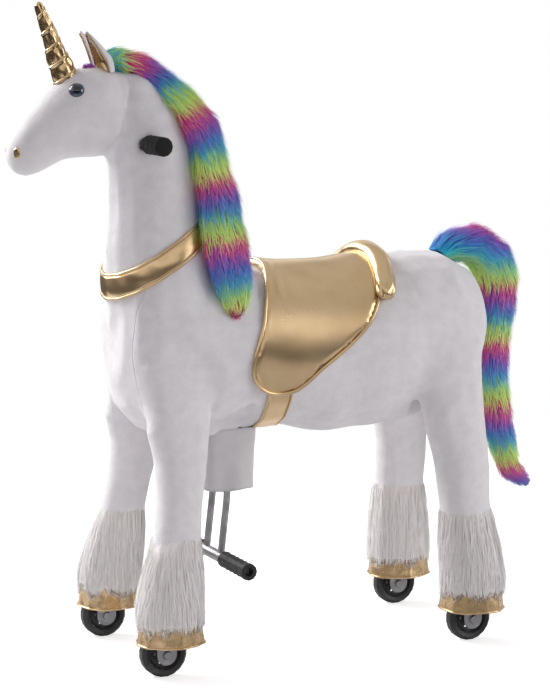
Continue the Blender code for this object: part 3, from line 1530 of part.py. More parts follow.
def build_fork(name, leg, side, joint):
    wheel = leg.wheel(side)
    half = FORK_WIDTH / 2
    lobe = arc((wheel.y, wheel.z), half, 180, 360, FORK_STEPS)
    points = [*lobe, (wheel.y + half, CROWN_TOP), (wheel.y - half, CROWN_TOP)]
    fork = outline(name, points, wheel.x - FORK_OUTSIDE, wheel.x + FORK_OUTSIDE, SIDE_VIEW)
    slot = box(
        "wheel_slot",
        (wheel.x - FORK_INSIDE, wheel.y - FORK_WIDTH, 0),
        (wheel.x + FORK_INSIDE, wheel.y + FORK_WIDTH, CROWN_UNDER),
    )
    combine(fork, slot)
    combine(
        fork,
        cross_rod(
            "axle_hole",
            wheel.x - FORK_OUTSIDE * 2,
            wheel.x + FORK_OUTSIDE * 2,
            wheel.y,
            wheel.z,
            AXLE_RADIUS + SEAT_GAP,
        ),
    )
    spigot = rod(
        "spigot",
        (wheel.x, wheel.y, CROWN_UNDER + FORK_PLATE / 2),
        (wheel.x, wheel.y, CROWN_TOP + SPIGOT_LENGTH),
        SPIGOT_RADIUS,
    )
    combine(fork, spigot, "UNION")
    return part(settle(fork), name, STEEL, joint)


def build_axle(name, leg, side, joint):
    """A riveted axle pin, headed at both ends outside the fork."""
    reach = FORK_OUTSIDE + SEAT_GAP
    profile = [
        (0, reach + RIVET_HEIGHT),
        (RIVET_RADIUS * RIVET_CROWN_SHARE, reach + RIVET_HEIGHT),
        (RIVET_RADIUS, reach),
        (AXLE_RADIUS, reach),
        (AXLE_RADIUS, -reach),
        (RIVET_RADIUS, -reach),
        (RIVET_RADIUS * RIVET_CROWN_SHARE, -reach - RIVET_HEIGHT),
        (0, -reach - RIVET_HEIGHT),
    ]
    axle = turned(name, profile, AXLE_STEPS, leg.wheel(side), (0, math.pi / 2, 0))
    return part(axle, name, STEEL, joint)


def wheel_turn():
    """Turns a wheel's axis to X with a flat facet of the tread on the floor."""
    half_step = Matrix.Rotation(math.pi / WHEEL_STEPS, 4, "Z")
    return (Matrix.Rotation(math.pi / 2, 4, "Y") @ half_step).to_euler()


def build_tyre(name, joint):
    half = TYRE_WIDTH / 2
    outer = WHEEL_RADIUS / math.cos(math.pi / WHEEL_STEPS)
    inner = HUB_RADIUS + SEAT_GAP
    shoulder = outer - (outer - inner) * TYRE_SHOULDER_SHARE
    upper = [(inner, half * TYRE_BEAD_SHARE), (shoulder, half), (outer, half * TYRE_TREAD_SHARE)]
    profile = upper + [(radius, -height) for radius, height in reversed(upper)]
    tyre = turned(name, profile, WHEEL_STEPS, joint.place, wheel_turn())
    return part(tyre, name, BLACK_RUBBER, joint)


def build_hub(name, joint):
    """A dished hub with a ring of holes, turning on the axle between the fork plates."""
    half = TYRE_WIDTH / 2 * TYRE_BEAD_SHARE
    boss = FORK_INSIDE - RUN_GAP
    bore = (AXLE_RADIUS + SEAT_GAP) / math.cos(math.pi / HUB_STEPS)
    lip = HUB_RADIUS - HUB_WEB * HUB_LIP_WEB_SHARE
    web = HUB_WEB / 2
    upper = [(bore, boss), (BOSS_RADIUS, boss), (BOSS_RADIUS, web), (lip, web), (HUB_RADIUS, half)]
    lower = [(radius, -height) for radius, height in reversed(upper)]
    hub = turned(name, upper + lower, HUB_STEPS, joint.place, (0, math.pi / 2, 0))
    middle = (BOSS_RADIUS + lip) / 2
    bm = bmesh.new()
    for step in range(HUB_HOLES):
        angle = math.tau * (step + 1 / 2) / HUB_HOLES
        place = Vector((0, middle * math.cos(angle), middle * math.sin(angle)))
        turn = Matrix.Rotation(math.pi / 2, 4, "Y")
        bmesh.ops.create_cone(
            bm,
            cap_ends=True,
            segments=HUB_HOLE_SIDES,
            radius1=HUB_HOLE_RADIUS,
            radius2=HUB_HOLE_RADIUS,
            depth=HUB_WEB + OVERRUN,
            matrix=Matrix.Translation(place) @ turn,
        )
    mesh = bpy.data.meshes.new("hub_holes")
    bm.to_mesh(mesh)
    bm.free()
    holes = helper("hub_holes", mesh)
    holes.parent = joint.empty
    combine(hub, holes)
    return part(hub, name, HUB_PLASTIC, joint)


def build_shaft(name, leg, joint, arm_sign):
    """A cross shaft with a crank at its middle."""
    half = LEG_TOP_X + SHAFT_BOSS_WIDTH / 2
    shaft = cross_rod(name, -half, half, leg.pivot.y, leg.pivot.z, SHAFT_RADIUS)
    pin = leg.pivot + Vector((0, 0, arm_sign * CRANK_ARM))
    reach = CRANK_THICKNESS / 2
    hub_radius = SHAFT_RADIUS + CROSSHEAD_WALL / 2
    combine(shaft, cross_rod("crank_hub", -reach, reach, leg.pivot.y, leg.pivot.z, hub_radius), "UNION")
    combine(shaft, cross_rod("crank_end", -reach, reach, pin.y, pin.z, CRANK_RADIUS), "UNION")
    low = Vector((-reach, pin.y - CRANK_RADIUS, min(pin.z, leg.pivot.z)))
    high = Vector((reach, pin.y + CRANK_RADIUS, max(pin.z, leg.pivot.z)))
    combine(shaft, box("crank_arm", low, high), "UNION")
    if arm_sign > 0:
        end = RAIL_INSIDE - RUN_GAP
        combine(shaft, cross_rod("crank_pin", -end, end, pin.y, pin.z, CRANK_PIN_RADIUS), "UNION")
    return part(settle(shaft), name, STEEL, joint)


def build_leg(leg, side, joint):
    word = leg.name + ("_left" if side > 0 else "_right")
    bore = leg_bore(word + "_bore", leg, side)
    build_leg_tube(word + "_leg_tube", leg, side, joint)
    build_leg_plush(word + "_leg_plush", leg, side, joint, bore)
    build_hoof(word + "_hoof", leg, side, joint, bore)
    build_cuff(word + "_fur_cuff", leg, side, joint)
    build_fork(word + "_wheel_fork", leg, side, joint)
    build_axle(word + "_axle", leg, side, joint)
    wheel = Joint(word + "_wheel_axis", leg.wheel(side), joint)
    build_tyre(word + "_tyre", wheel)
    build_hub(word + "_hub", wheel)


# Linkage and pedals


def build_rod(joint):
    """The rod from the front crank up between the rails to the rear crank pin, forked at the rear."""
    front, rear = crank_pins()
    swing = math.radians(LEG_SWING_DEGREES)
    drop = CRANK_ARM * (1 - math.cos(swing)) / 2
    eye = rear - Vector((0, 0, drop))
    bore = turning_bore(CRANK_PIN_RADIUS + drop)
    inner = CRANK_THICKNESS / 2 + SEAT_GAP
    outer = RAIL_INSIDE - RUN_GAP
    start = front + Vector((0, CRANK_RADIUS + RUN_GAP * 4, 0))
    along = (eye - start).normalized()
    neck = eye - along * (ROD_EYE_RADIUS + ROD_FORK_REACH)
    link = tube("link", [start, neck], ROD_RADIUS)
    bridge = box(
        "bridge",
        neck - Vector((outer, ROD_RADIUS, ROD_RADIUS)),
        neck + Vector((outer, ROD_RADIUS, ROD_RADIUS)),
    )
    combine(link, bridge, "UNION")
    for sign in (-1, 1):
        x_inner = sign * inner
        x_outer = sign * outer
        cheek = cross_rod("cheek", x_inner, x_outer, eye.y, eye.z, ROD_EYE_RADIUS)
        combine(link, cheek, "UNION")
        middle = (x_inner + x_outer) / 2
        arm = box(
            "arm",
            (middle - (outer - inner) / 2, neck.y, min(neck.z, eye.z) - ROD_RADIUS),
            (middle + (outer - inner) / 2, eye.y, eye.z + ROD_RADIUS),
        )
        combine(link, arm, "UNION")
    combine(link, cross_rod("pin_hole", -outer * 2, outer * 2, eye.y, eye.z, bore))
    return part(settle(link), "connecting_rod", STEEL, joint)


def build_pedals(joint):
    foot = BEAM_LEVEL - PEDAL_DROP
    lean = PEDAL_Y - PEDAL_LEAN
    frame = cross_rod(
        "pedal_cross", -PEDAL_TUBE_HALF, PEDAL_TUBE_HALF, lean, foot, PEDAL_TUBE_RADIUS
    )
    for sign in (-1, 1):
        x = sign * PEDAL_SPREAD
        bend = (x, PEDAL_Y - PEDAL_LEAN / 2, BEAM_LEVEL - PEDAL_BEND_DROP)
        bar = tube("bar", [(x, PEDAL_Y, BEAM_LEVEL), bend, (x, lean, foot)], PEDAL_BAR_RADIUS)
        combine(frame, bar, "UNION")
        eye = cross_rod(
            "eye",
            x - PEDAL_BAR_RADIUS - RUN_GAP,
            x + PEDAL_BAR_RADIUS + RUN_GAP,
            PEDAL_Y,
            BEAM_LEVEL,
            PEDAL_EYE_RADIUS,
        )
        combine(frame, eye, "UNION")
        spindle = cross_rod(
            "spindle",
            sign * PEDAL_TUBE_HALF / 2,
            sign * (PEDAL_TUBE_HALF + PEDAL_GRIP_LENGTH * PEDAL_SPINDLE_SHARE),
            lean,
            foot,
            PEDAL_SPINDLE_RADIUS,
        )
        combine(frame, spindle, "UNION")
    reach = PEDAL_SPREAD * 2
    combine(
        frame,
        cross_rod("pedal_bore", -reach, reach, PEDAL_Y, BEAM_LEVEL, turning_bore(PEDAL_PIN_RADIUS)),
    )
    part(settle(frame), "pedal_frame", STEEL, joint)
    for word, sign in (("left", 1), ("right", -1)):
        build_pedal_grip("pedal_grip_" + word, joint, sign, lean, foot)


def build_pedal_grip(name, joint, side, y, z):
    """A ribbed rubber sleeve, open at its outer end."""
    bore = PEDAL_SPINDLE_RADIUS + SEAT_GAP
    pitch = PEDAL_GRIP_LENGTH / PEDAL_GRIP_RIBS
    groove = PEDAL_GRIP_RADIUS * PEDAL_GROOVE_SHARE
    profile = [(bore, PEDAL_GRIP_LENGTH), (PEDAL_GRIP_RADIUS, PEDAL_GRIP_LENGTH)]
    for rib in range(1, PEDAL_GRIP_RIBS):
        level = PEDAL_GRIP_LENGTH - rib * pitch
        profile.append((PEDAL_GRIP_RADIUS, level + pitch * PEDAL_RIB_SHARE))
        profile.append((groove, level))
    profile += [(PEDAL_GRIP_RADIUS, 0), (bore, 0)]
    start = side * (PEDAL_TUBE_HALF + SEAT_GAP)
    grip = turned(name, profile, ROUND_SIDES, (start, y, z), (0, side * math.pi / 2, 0))
    return part(grip, name, BLACK_RUBBER, joint)


def main():
    front = Leg(
        "front",
        -1,
        SHOULDER_Y,
        SHOULDER_HEIGHT,
        SHOULDER_DISC_RADIUS,
        SHOULDER_Y - FRONT_REACH,
        FRONT_HOOF_SHIFT,
        FRONT_LEG_SHARES,
    )
    rear = Leg(
        "rear",
        1,
        HIP_Y,
        HIP_HEIGHT,
        HIP_DISC_RADIUS,
        HIP_Y + REAR_REACH,
        REAR_HOOF_SHIFT,
        REAR_LEG_SHARES,
    )

    chassis = Joint("chassis", (0, 0, 0))
    steering = Joint("steering_axis", (0, STEER_Y, SHOULDER_HEIGHT), chassis)
    front_swing = Joint("front_swing_axis", front.pivot, steering)
    rear_swing = Joint("rear_swing_axis", rear.pivot, chassis)
    pedals = Joint("pedal_axis", (0, PEDAL_Y, BEAM_LEVEL), chassis)
    link = Joint("connecting_rod_line", crank_pins()[1], chassis)

    build_main_beam(chassis)
    build_torso(chassis, rear)
    build_saddle(chassis)
    build_cantle(chassis)
    build_girth(chassis)
    build_skirt(chassis)
    build_tail(chassis)
    build_spring(chassis)

    hollow = bores_for_column("column_room")
    build_column(steering)
    build_handlebar(steering)
    build_grip("handle_grip_left", steering, 1)
    build_grip("handle_grip_right", steering, -1)
    build_chest(steering, front, hollow)
    build_neck(steering, hollow)
    build_head(steering, hollow)
    build_horn(steering)
    build_ear("ear_left", steering, 1)
    build_ear("ear_right", steering, -1)
    build_eye("eye_left", steering, 1)
    build_eye("eye_right", steering, -1)
    build_mane(steering)
    build_strap(steering)

    build_shaft("shoulder_shaft", front, front_swing, -1)
    build_shaft("hip_shaft", rear, rear_swing, 1)
    for side in (1, -1):
        build_leg(front, side, front_swing)
        build_leg(rear, side, rear_swing)

    build_pedals(pedals)
    build_rod(link)


main()
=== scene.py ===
"""Looks for the plush ride-on unicorn: sewn skin, foil saddle, dyed fur, metal, rubber and the studio.

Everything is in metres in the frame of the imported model: +Z is up, the head faces -Y and the pony's left
side is +X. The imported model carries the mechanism; this script dresses it.
"""

import logging
import math
import random
from contextlib import contextmanager
from dataclasses import dataclass
from enum import Enum
from typing import Callable, Iterable, Iterator, Optional, Sequence

import bmesh
import bpy
import numpy as np
from bpy.types import Material, Object
from mathutils import Matrix, Vector
from mathutils.bvhtree import BVHTree


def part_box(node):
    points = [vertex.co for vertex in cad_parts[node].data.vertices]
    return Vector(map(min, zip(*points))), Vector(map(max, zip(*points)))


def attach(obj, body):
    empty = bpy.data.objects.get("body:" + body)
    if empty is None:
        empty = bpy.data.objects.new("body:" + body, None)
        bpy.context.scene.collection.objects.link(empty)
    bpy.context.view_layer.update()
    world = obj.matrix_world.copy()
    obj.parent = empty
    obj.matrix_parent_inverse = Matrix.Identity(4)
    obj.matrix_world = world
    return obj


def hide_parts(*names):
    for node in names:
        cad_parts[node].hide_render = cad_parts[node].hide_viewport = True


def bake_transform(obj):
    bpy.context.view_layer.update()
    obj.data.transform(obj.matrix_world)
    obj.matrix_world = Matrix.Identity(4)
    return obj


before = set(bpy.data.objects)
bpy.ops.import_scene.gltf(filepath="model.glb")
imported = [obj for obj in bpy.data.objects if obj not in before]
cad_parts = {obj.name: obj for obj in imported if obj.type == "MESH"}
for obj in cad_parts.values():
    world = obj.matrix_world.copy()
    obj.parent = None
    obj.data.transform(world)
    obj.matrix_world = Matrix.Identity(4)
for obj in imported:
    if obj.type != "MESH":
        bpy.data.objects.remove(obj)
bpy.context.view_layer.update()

LOG = logging.getLogger("unicorn")

LEFT = 1
RIGHT = -1
SIDE_WORDS = {LEFT: "left", RIGHT: "right"}
UP = Vector((0, 0, 1))
ACROSS = Vector((1, 0, 0))

Pair = tuple[float, float]
Triple = tuple[float, float, float]


class Body(str, Enum):
    """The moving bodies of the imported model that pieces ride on."""

    CHASSIS = "chassis"
    FRONT_FORK = "front_fork"
    FRONT_LEGS = "front_legs"
    REAR_LEGS = "rear_legs"


class Slot(str, Enum):
    """The record's material slots."""

    PLUSH = "white_plush"
    FUR = "white_fur"
    GOLD = "gold_foil"
    RAINBOW = "rainbow_fur"
    CLOTH = "white_cloth"
    EYE = "eye_gloss"


# Shader expressions


class Signal:
    """A shader socket that takes part in Python arithmetic."""

    def __init__(self, graph: "Graph", socket: bpy.types.NodeSocket) -> None:
        """Wraps one output socket of a graph."""
        self.graph = graph
        self.socket = socket

    def _maths(self, operation: str, *operands: "Signal | float") -> "Signal":
        """The value of a new Math node, from its operation and its inputs in order."""
        inputs = dict(enumerate(operands))
        return self.graph.node("ShaderNodeMath", {"operation": operation}, inputs)["Value"]

    def __add__(self, other: "Signal | float") -> "Signal":
        """Adds."""
        return self._maths("ADD", self, other)

    __radd__ = __add__

    def __sub__(self, other: "Signal | float") -> "Signal":
        """Subtracts."""
        return self._maths("SUBTRACT", self, other)

    def __rsub__(self, other: float) -> "Signal":
        """Subtracts this from a number."""
        return self._maths("SUBTRACT", other, self)

    def __mul__(self, other: "Signal | float") -> "Signal":
        """Multiplies."""
        return self._maths("MULTIPLY", self, other)

    __rmul__ = __mul__

    def power(self, exponent: float) -> "Signal":
        """Raises to a power."""
        return self._maths("POWER", self, exponent)

    def fraction(self) -> "Signal":
        """Keeps what follows the decimal point."""
        return self._maths("FRACT", self)

    def magnitude(self) -> "Signal":
        """Drops the sign."""
        return self._maths("ABSOLUTE", self)

    def sine(self) -> "Signal":
        """Takes the sine."""
        return self._maths("SINE", self)

    def ramp(self, low: float, high: float) -> "Signal":
        """Rises smoothly from 0 at low to 1 at high.

        Args:
            low: Where the result leaves 0.
            high: Where it reaches 1.

        Returns:
            The smoothed share.
        """
        inputs = {"Value": self, "From Min": low, "From Max": high}
        return self.graph.node("ShaderNodeMapRange", {"interpolation_type": "SMOOTHSTEP"}, inputs)["Result"]


class Graph:
    """The node graph of one material, or of the world."""

    MIX_SHARE = 0
    MIX_LOW = 6
    MIX_HIGH = 7
    MIX_RESULT = 2

    def __init__(self, owner: "Material | bpy.types.World") -> None:
        """Starts an empty graph.

        Args:
            owner: The new material or world that the graph belongs to.
        """
        owner.use_nodes = True
        self.owner = owner
        self.tree = owner.node_tree
        self.tree.nodes.clear()

    @classmethod
    def of_material(cls, name: str) -> "Graph":
        """The graph of a new material."""
        return cls(bpy.data.materials.new(name))

    def node(self, kind: str, settings: dict, inputs: dict) -> dict:
        """Adds a node, sets it up and feeds it.

        Args:
            kind: The node's type.
            settings: Its properties; a ramp's stops go under the key "stops".
            inputs: Values or signals by socket name or number.

        Returns:
            Its outputs as signals, by name.
        """
        node = self.tree.nodes.new(kind)
        for key, value in settings.items():
            if key == "stops":
                self._set_stops(node.color_ramp, value)
            else:
                setattr(node, key, value)
        for key, value in inputs.items():
            self._feed(node.inputs[key], value)
        return {socket.name: Signal(self, socket) for socket in node.outputs if socket.enabled}

    def _feed(self, socket: bpy.types.NodeSocket, value: "Signal | float | tuple") -> None:
        """Links a signal to a socket, or sets a constant on it.

        Args:
            socket: The input socket.
            value: The signal or the constant.
        """
        if isinstance(value, Signal):
            self.tree.links.new(value.socket, socket)
        else:
            socket.default_value = value

    @staticmethod
    def _set_stops(color_ramp: bpy.types.ColorRamp, stops: Sequence[tuple[float, Triple]]) -> None:
        """Fills a colour ramp.

        Args:
            color_ramp: The ramp.
            stops: Places and colours.
        """
        while len(color_ramp.elements) < len(stops):
            color_ramp.elements.new(0.5)
        for element, (place, color) in zip(color_ramp.elements, stops):
            element.position = place
            element.color = (*color, 1.0)

    def place(self) -> Signal:
        """Object coordinates, in metres."""
        return self.node("ShaderNodeTexCoord", {}, {})["Object"]

    def parts(self, vector: Signal) -> tuple[Signal, Signal, Signal]:
        """Splits a vector into X, Y and Z."""
        split = self.node("ShaderNodeSeparateXYZ", {}, {0: vector})
        return split["X"], split["Y"], split["Z"]

    def attribute(self, name: str) -> Signal:
        """A number stored on the mesh."""
        return self.node("ShaderNodeAttribute", {"attribute_name": name}, {})["Fac"]

    def stretched(self, scale: Triple) -> Signal:
        """Object coordinates scaled along each axis."""
        return self.node("ShaderNodeMapping", {}, {"Vector": self.place(), "Scale": scale})["Vector"]

    def vector_maths(self, operation: str, *operands: "Signal | Triple") -> dict:
        """The outputs of a Vector Math node."""
        return self.node("ShaderNodeVectorMath", {"operation": operation}, dict(enumerate(operands)))

    def noise(self, scale: float, detail: float = 2.0, vector: Optional[Signal] = None) -> Signal:
        """Soft random variation about 0.5.

        Args:
            scale: How many lumps fit in a metre.
            detail: How many finer layers it holds.
            vector: Where it is sampled, or the object's own place.

        Returns:
            The noise.
        """
        inputs = {"Vector": vector or self.place(), "Scale": scale, "Detail": detail}
        return self.node("ShaderNodeTexNoise", {}, inputs)["Fac"]

    def mixed(
        self, share: "Signal | float", low: "Signal | Triple", high: "Signal | Triple", blend: str = "MIX"
    ) -> Signal:
        """Mixes two colours.

        Args:
            share: 0 for low, 1 for high.
            low: The first colour.
            high: The second colour.
            blend: The Mix node's blend type.

        Returns:
            The mixed colour.
        """
        node = self.tree.nodes.new("ShaderNodeMix")
        node.data_type = "RGBA"
        node.blend_type = blend
        self._feed(node.inputs[self.MIX_SHARE], share)
        for key, color in ((self.MIX_LOW, low), (self.MIX_HIGH, high)):
            self._feed(node.inputs[key], color if isinstance(color, Signal) else (*color, 1.0))
        return Signal(self, node.outputs[self.MIX_RESULT])

    def bump(self, height: Signal, depth: float, strength: float = 1.0) -> Signal:
        """A surface relief.

        Args:
            height: The relief, 0 to 1.
            depth: How deep 1 is, in metres.
            strength: How much of it shows.

        Returns:
            The changed normal.
        """
        inputs = {"Height": height, "Distance": depth, "Strength": strength}
        return self.node("ShaderNodeBump", {}, inputs)["Normal"]

    def surface(self, **sockets: "Signal | float | tuple") -> Material:
        """Ends the graph in a Principled shader.

        Args:
            **sockets: Its inputs, with underscores for spaces.

        Returns:
            The finished material.
        """
        inputs = {key.replace("_", " "): value for key, value in sockets.items()}
        shader = self.node("ShaderNodeBsdfPrincipled", {}, inputs)["BSDF"]
        self.node("ShaderNodeOutputMaterial", {}, {"Surface": shader})
        return self.owner


# Finishes


@dataclass(frozen=True)
class PlushFinish:
    """Short-pile white plush with a sewn seam down each side of the chest."""

    color: Triple = (0.87, 0.845, 0.868)
    shade: Triple = (0.80, 0.772, 0.80)
    tone_span: Pair = (0.35, 0.85)
    nap_tone: float = 0.9
    pile_tone: float = 0.35
    pile_scale: float = 520.0
    nap_scale: float = 60.0
    depth: float = 0.0008
    nap_depth: float = 0.9
    pile_depth: float = 0.45
    seam_depth: float = 1.2
    seam_half_width: float = 0.0016
    seam_x: float = 0.066
    seam_back_y: float = -0.19
    seam_span_z: Pair = (0.33, 0.57)
    seam_fade: float = 0.01
    seam_low_fade: float = 0.03
    wander_scale: float = 9.0
    wander: float = 0.012

    def material(self) -> Material:
        """Builds the plush.

        Returns:
            The material.
        """
        graph = Graph.of_material("plush")
        pile = graph.noise(self.pile_scale, 3.0)
        nap = graph.noise(self.nap_scale, 4.0)
        x, y, z = graph.parts(graph.place())
        low, high = self.seam_span_z
        wander = (graph.noise(self.wander_scale, 1.0) - 0.5) * self.wander
        line = (x.magnitude() - self.seam_x + wander).magnitude().ramp(self.seam_half_width, 0.0)
        front = y.ramp(self.seam_back_y, self.seam_back_y - self.seam_fade)
        height = z.ramp(low, low + self.seam_low_fade) * z.ramp(high, high - self.seam_fade)
        seam = line * front * height
        tone = (nap * self.nap_tone + pile * self.pile_tone).ramp(*self.tone_span)
        relief = pile * self.pile_depth + nap * self.nap_depth - seam * self.seam_depth
        return graph.surface(
            Base_Color=graph.mixed(tone, self.shade, self.color),
            Roughness=0.95,
            Normal=graph.bump(relief, self.depth),
            Sheen_Weight=0.25,
            Sheen_Roughness=0.6,
            Specular_IOR_Level=0.15,
        )


@dataclass(frozen=True)
class FurFinish:
    """Long straight white hair."""

    root: Triple = (0.90, 0.86, 0.83)
    tip: Triple = (0.97, 0.945, 0.93)
    tone_span: Pair = (0.1, 0.9)
    tip_tone: float = 0.75
    streak_tone: float = 0.5
    streak_scale: Triple = (420.0, 420.0, 26.0)
    depth: float = 0.0008

    def material(self) -> Material:
        """Builds the white hair.

        Returns:
            The material.
        """
        graph = Graph.of_material("white_hair")
        streak = graph.noise(1.0, 2.0, graph.stretched(self.streak_scale))
        tone = graph.attribute("tip") * self.tip_tone + streak * self.streak_tone
        return graph.surface(
            Base_Color=graph.mixed(tone.ramp(*self.tone_span), self.root, self.tip),
            Roughness=0.75,
            Normal=graph.bump(streak, self.depth),
            Sheen_Weight=0.2,
            Specular_IOR_Level=0.25,
        )


@dataclass(frozen=True)
class DyedFurFinish:
    """Faux fur dyed in soft bands across its length, with painted shade in dark streaks and a painted sheen
    on paler tips and pale streaks.
    """

    stops: tuple[tuple[float, Triple], ...] = (
        (0.00, (0.940, 0.035, 0.280)),
        (0.12, (0.820, 0.045, 0.400)),
        (0.25, (0.400, 0.080, 0.680)),
        (0.36, (0.070, 0.140, 0.720)),
        (0.48, (0.015, 0.340, 0.840)),
        (0.60, (0.030, 0.660, 0.760)),
        (0.73, (0.620, 0.930, 0.190)),
        (0.88, (0.800, 0.980, 0.210)),
        (0.955, (0.760, 0.950, 0.210)),
        (1.00, (0.940, 0.035, 0.280)),
    )
    # painted sheen: the near-white mixed in at the tips and in pale streaks
    light: Triple = (1.0, 0.98, 0.95)
    # painted shade: the near-black mixed into the bands in dark streaks
    dark: Triple = (0.0, 0.0, 0.02)
    streak_scale: float = 260.0
    # painted shade streaks: where the near-black shows and how much of it
    dark_streak: Pair = (0.45, 0.2)
    dark_share: float = 0.12
    # painted sheen: where the pale streaks show, how much, and how pale the tips grow
    painted_sheen_streak: Pair = (0.55, 0.8)
    painted_sheen_share: float = 0.05
    painted_sheen_tip_share: float = 0.16
    depth: float = 0.0006

    def material(self) -> Material:
        """Builds the dyed fur.

        Returns:
            The material.
        """
        graph = Graph.of_material("rainbow_hair")
        dye = graph.attribute("dye").fraction()
        bands = graph.node("ShaderNodeValToRGB", {"stops": self.stops}, {"Fac": dye})["Color"]
        streak = graph.noise(self.streak_scale, 2.0)
        tip = graph.attribute("tip")
        # painted sheen: paler tips and pale streaks
        pale = (tip * tip) * self.painted_sheen_tip_share + streak.ramp(*self.painted_sheen_streak) * self.painted_sheen_share
        # painted shade: near-black noise streaks darken the bands
        shaded = graph.mixed(streak.ramp(*self.dark_streak) * self.dark_share, bands, self.dark)
        return graph.surface(
            Base_Color=graph.mixed(pale, shaded, self.light),
            Roughness=0.6,
            Normal=graph.bump(streak, self.depth),
            Sheen_Weight=0.15,
            Specular_IOR_Level=0.4,
        )


@dataclass(frozen=True)
class FoilFinish:
    """Metallic gold foil on soft cloth, with fine creases."""

    name: str = "gold_foil"
    bright: Triple = (0.72, 0.54, 0.33)
    worn: Triple = (0.62, 0.45, 0.26)
    roughness: float = 0.30
    crease_scale: float = 11.0
    crease_depth: float = 0.0016
    crease_span: Pair = (0.3, 0.7)
    crease_strength: float = 0.6
    grain_scale: float = 700.0
    grain_depth: float = 0.02
    wear_scale: float = 14.0
    wear_span: Pair = (0.35, 0.72)
    unevenness: float = 0.10

    def material(self) -> Material:
        """Builds the foil.

        Returns:
            The material.
        """
        graph = Graph.of_material(self.name)
        fold = graph.noise(self.crease_scale, 1.0).ramp(*self.crease_span)
        grain = graph.noise(self.grain_scale, 2.0)
        wear = graph.noise(self.wear_scale, 4.0)
        dull = grain * self.unevenness + wear * self.unevenness
        return graph.surface(
            Base_Color=graph.mixed(wear.ramp(*self.wear_span), self.bright, self.worn),
            Metallic=0.95,
            Roughness=dull + (self.roughness - self.unevenness),
            Normal=graph.bump(fold + grain * self.grain_depth, self.crease_depth, self.crease_strength),
        )


@dataclass(frozen=True)
class RubberFinish:
    """Moulded rubber, foam or plastic with a dusty matte surface."""

    name: str
    color: Triple
    dust: Triple
    roughness: float
    grain_scale: float = 700.0
    grain_depth: float = 0.0003
    grain_dulling: float = 0.15
    dust_scale: float = 45.0
    dust_span: Pair = (0.5, 0.8)

    def material(self) -> Material:
        """Builds the rubber.

        Returns:
            The material.
        """
        graph = Graph.of_material(self.name)
        grain = graph.noise(self.grain_scale, 2.0)
        dust = graph.noise(self.dust_scale, 5.0).ramp(*self.dust_span)
        return graph.surface(
            Base_Color=graph.mixed(dust, self.color, self.dust),
            Roughness=grain * self.grain_dulling + self.roughness,
            Normal=graph.bump(grain, self.grain_depth),
        )


@dataclass(frozen=True)
class MetalFinish:
    """Plated or painted steel with rubbed, slightly uneven brightness."""

    name: str
    color: Triple
    rubbed: Triple
    metallic: float = 1.0
    roughness: float = 0.3
    smear_scale: float = 60.0
    smear_span: Pair = (0.4, 0.7)
    smear_dulling: float = 0.15
    scratch_scale: Triple = (60.0, 900.0, 900.0)
    scratch_dulling: float = 0.1
    scratch_depth: float = 0.00008

    def material(self) -> Material:
        """Builds the metal.

        Returns:
            The material.
        """
        graph = Graph.of_material(self.name)
        smear = graph.noise(self.smear_scale, 4.0)
        scratch = graph.noise(1.0, 2.0, graph.stretched(self.scratch_scale))
        return graph.surface(
            Base_Color=graph.mixed(smear.ramp(*self.smear_span), self.color, self.rubbed),
            Metallic=self.metallic,
            Roughness=smear * self.smear_dulling + scratch * self.scratch_dulling + self.roughness,
            Normal=graph.bump(scratch, self.scratch_depth),
        )


@dataclass(frozen=True)
class ClothFinish:
    """Plain white woven cloth."""

    color: Triple = (0.94, 0.92, 0.94)
    shade: Triple = (0.88, 0.86, 0.88)
    thread: float = 1400.0
    thread_depth: float = 0.3
    soft_scale: float = 40.0
    soft_span: Pair = (0.3, 0.8)
    soft_depth: float = 1.5
    depth: float = 0.0007

    def material(self) -> Material:
        """Builds the cloth.

        Returns:
            The material.
        """
        graph = Graph.of_material("white_cloth")
        x, y, z = graph.parts(graph.place())
        pitch = self.thread * math.tau
        weave = ((x + y) * pitch).sine() * (z * pitch).sine()
        soft = graph.noise(self.soft_scale, 3.0)
        return graph.surface(
            Base_Color=graph.mixed(soft.ramp(*self.soft_span), self.shade, self.color),
            Roughness=0.9,
            Normal=graph.bump(weave * self.thread_depth + soft * self.soft_depth, self.depth),
            Sheen_Weight=0.15,
        )


@dataclass(frozen=True)
class EyeFinish:
    """A glass eye: black pupil, blue-grey iris and a dark rim."""

    name: str
    centre: Vector
    axis: Vector
    pupil: float = 0.0056
    iris: float = 0.0096
    pupil_edge: float = 0.92
    iris_edge: float = 1.06
    black: Triple = (0.004, 0.004, 0.005)
    inner: Triple = (0.02, 0.035, 0.07)
    outer: Triple = (0.06, 0.09, 0.14)
    rim: Triple = (0.02, 0.03, 0.05)

    def material(self) -> Material:
        """Builds the eye.

        Returns:
            The material.
        """
        graph = Graph.of_material(self.name)
        offset = graph.vector_maths("SUBTRACT", graph.place(), tuple(self.centre))["Vector"]
        along = graph.vector_maths("DOT_PRODUCT", offset, tuple(self.axis))["Value"]
        length = graph.vector_maths("LENGTH", offset)["Value"]
        away = (length * length - along * along).magnitude().power(0.5)
        ring = graph.mixed(away.ramp(self.pupil, self.iris), self.inner, self.outer)
        color = graph.mixed(away.ramp(self.pupil * self.pupil_edge, self.pupil), self.black, ring)
        color = graph.mixed(away.ramp(self.iris, self.iris * self.iris_edge), color, self.rim)
        return graph.surface(Base_Color=color, Roughness=0.12, Coat_Weight=0.5, Coat_Roughness=0.02)


# Mesh tools


def deselect() -> None:
    """Leaves nothing selected, so that the next operator acts on its own piece."""
    for obj in bpy.context.selected_objects:
        obj.select_set(False)


def activate(obj: Object) -> None:
    """Makes one object the only selected one, and the active one.

    Args:
        obj: The object.
    """
    deselect()
    obj.select_set(True)
    bpy.context.view_layer.objects.active = obj


def join(obj: Object, others: Iterable[Object]) -> None:
    """Joins other objects into one.

    Args:
        obj: The object that stays.
        others: The objects that go into it.
    """
    activate(obj)
    for other in others:
        other.select_set(True)
    bpy.ops.object.join()


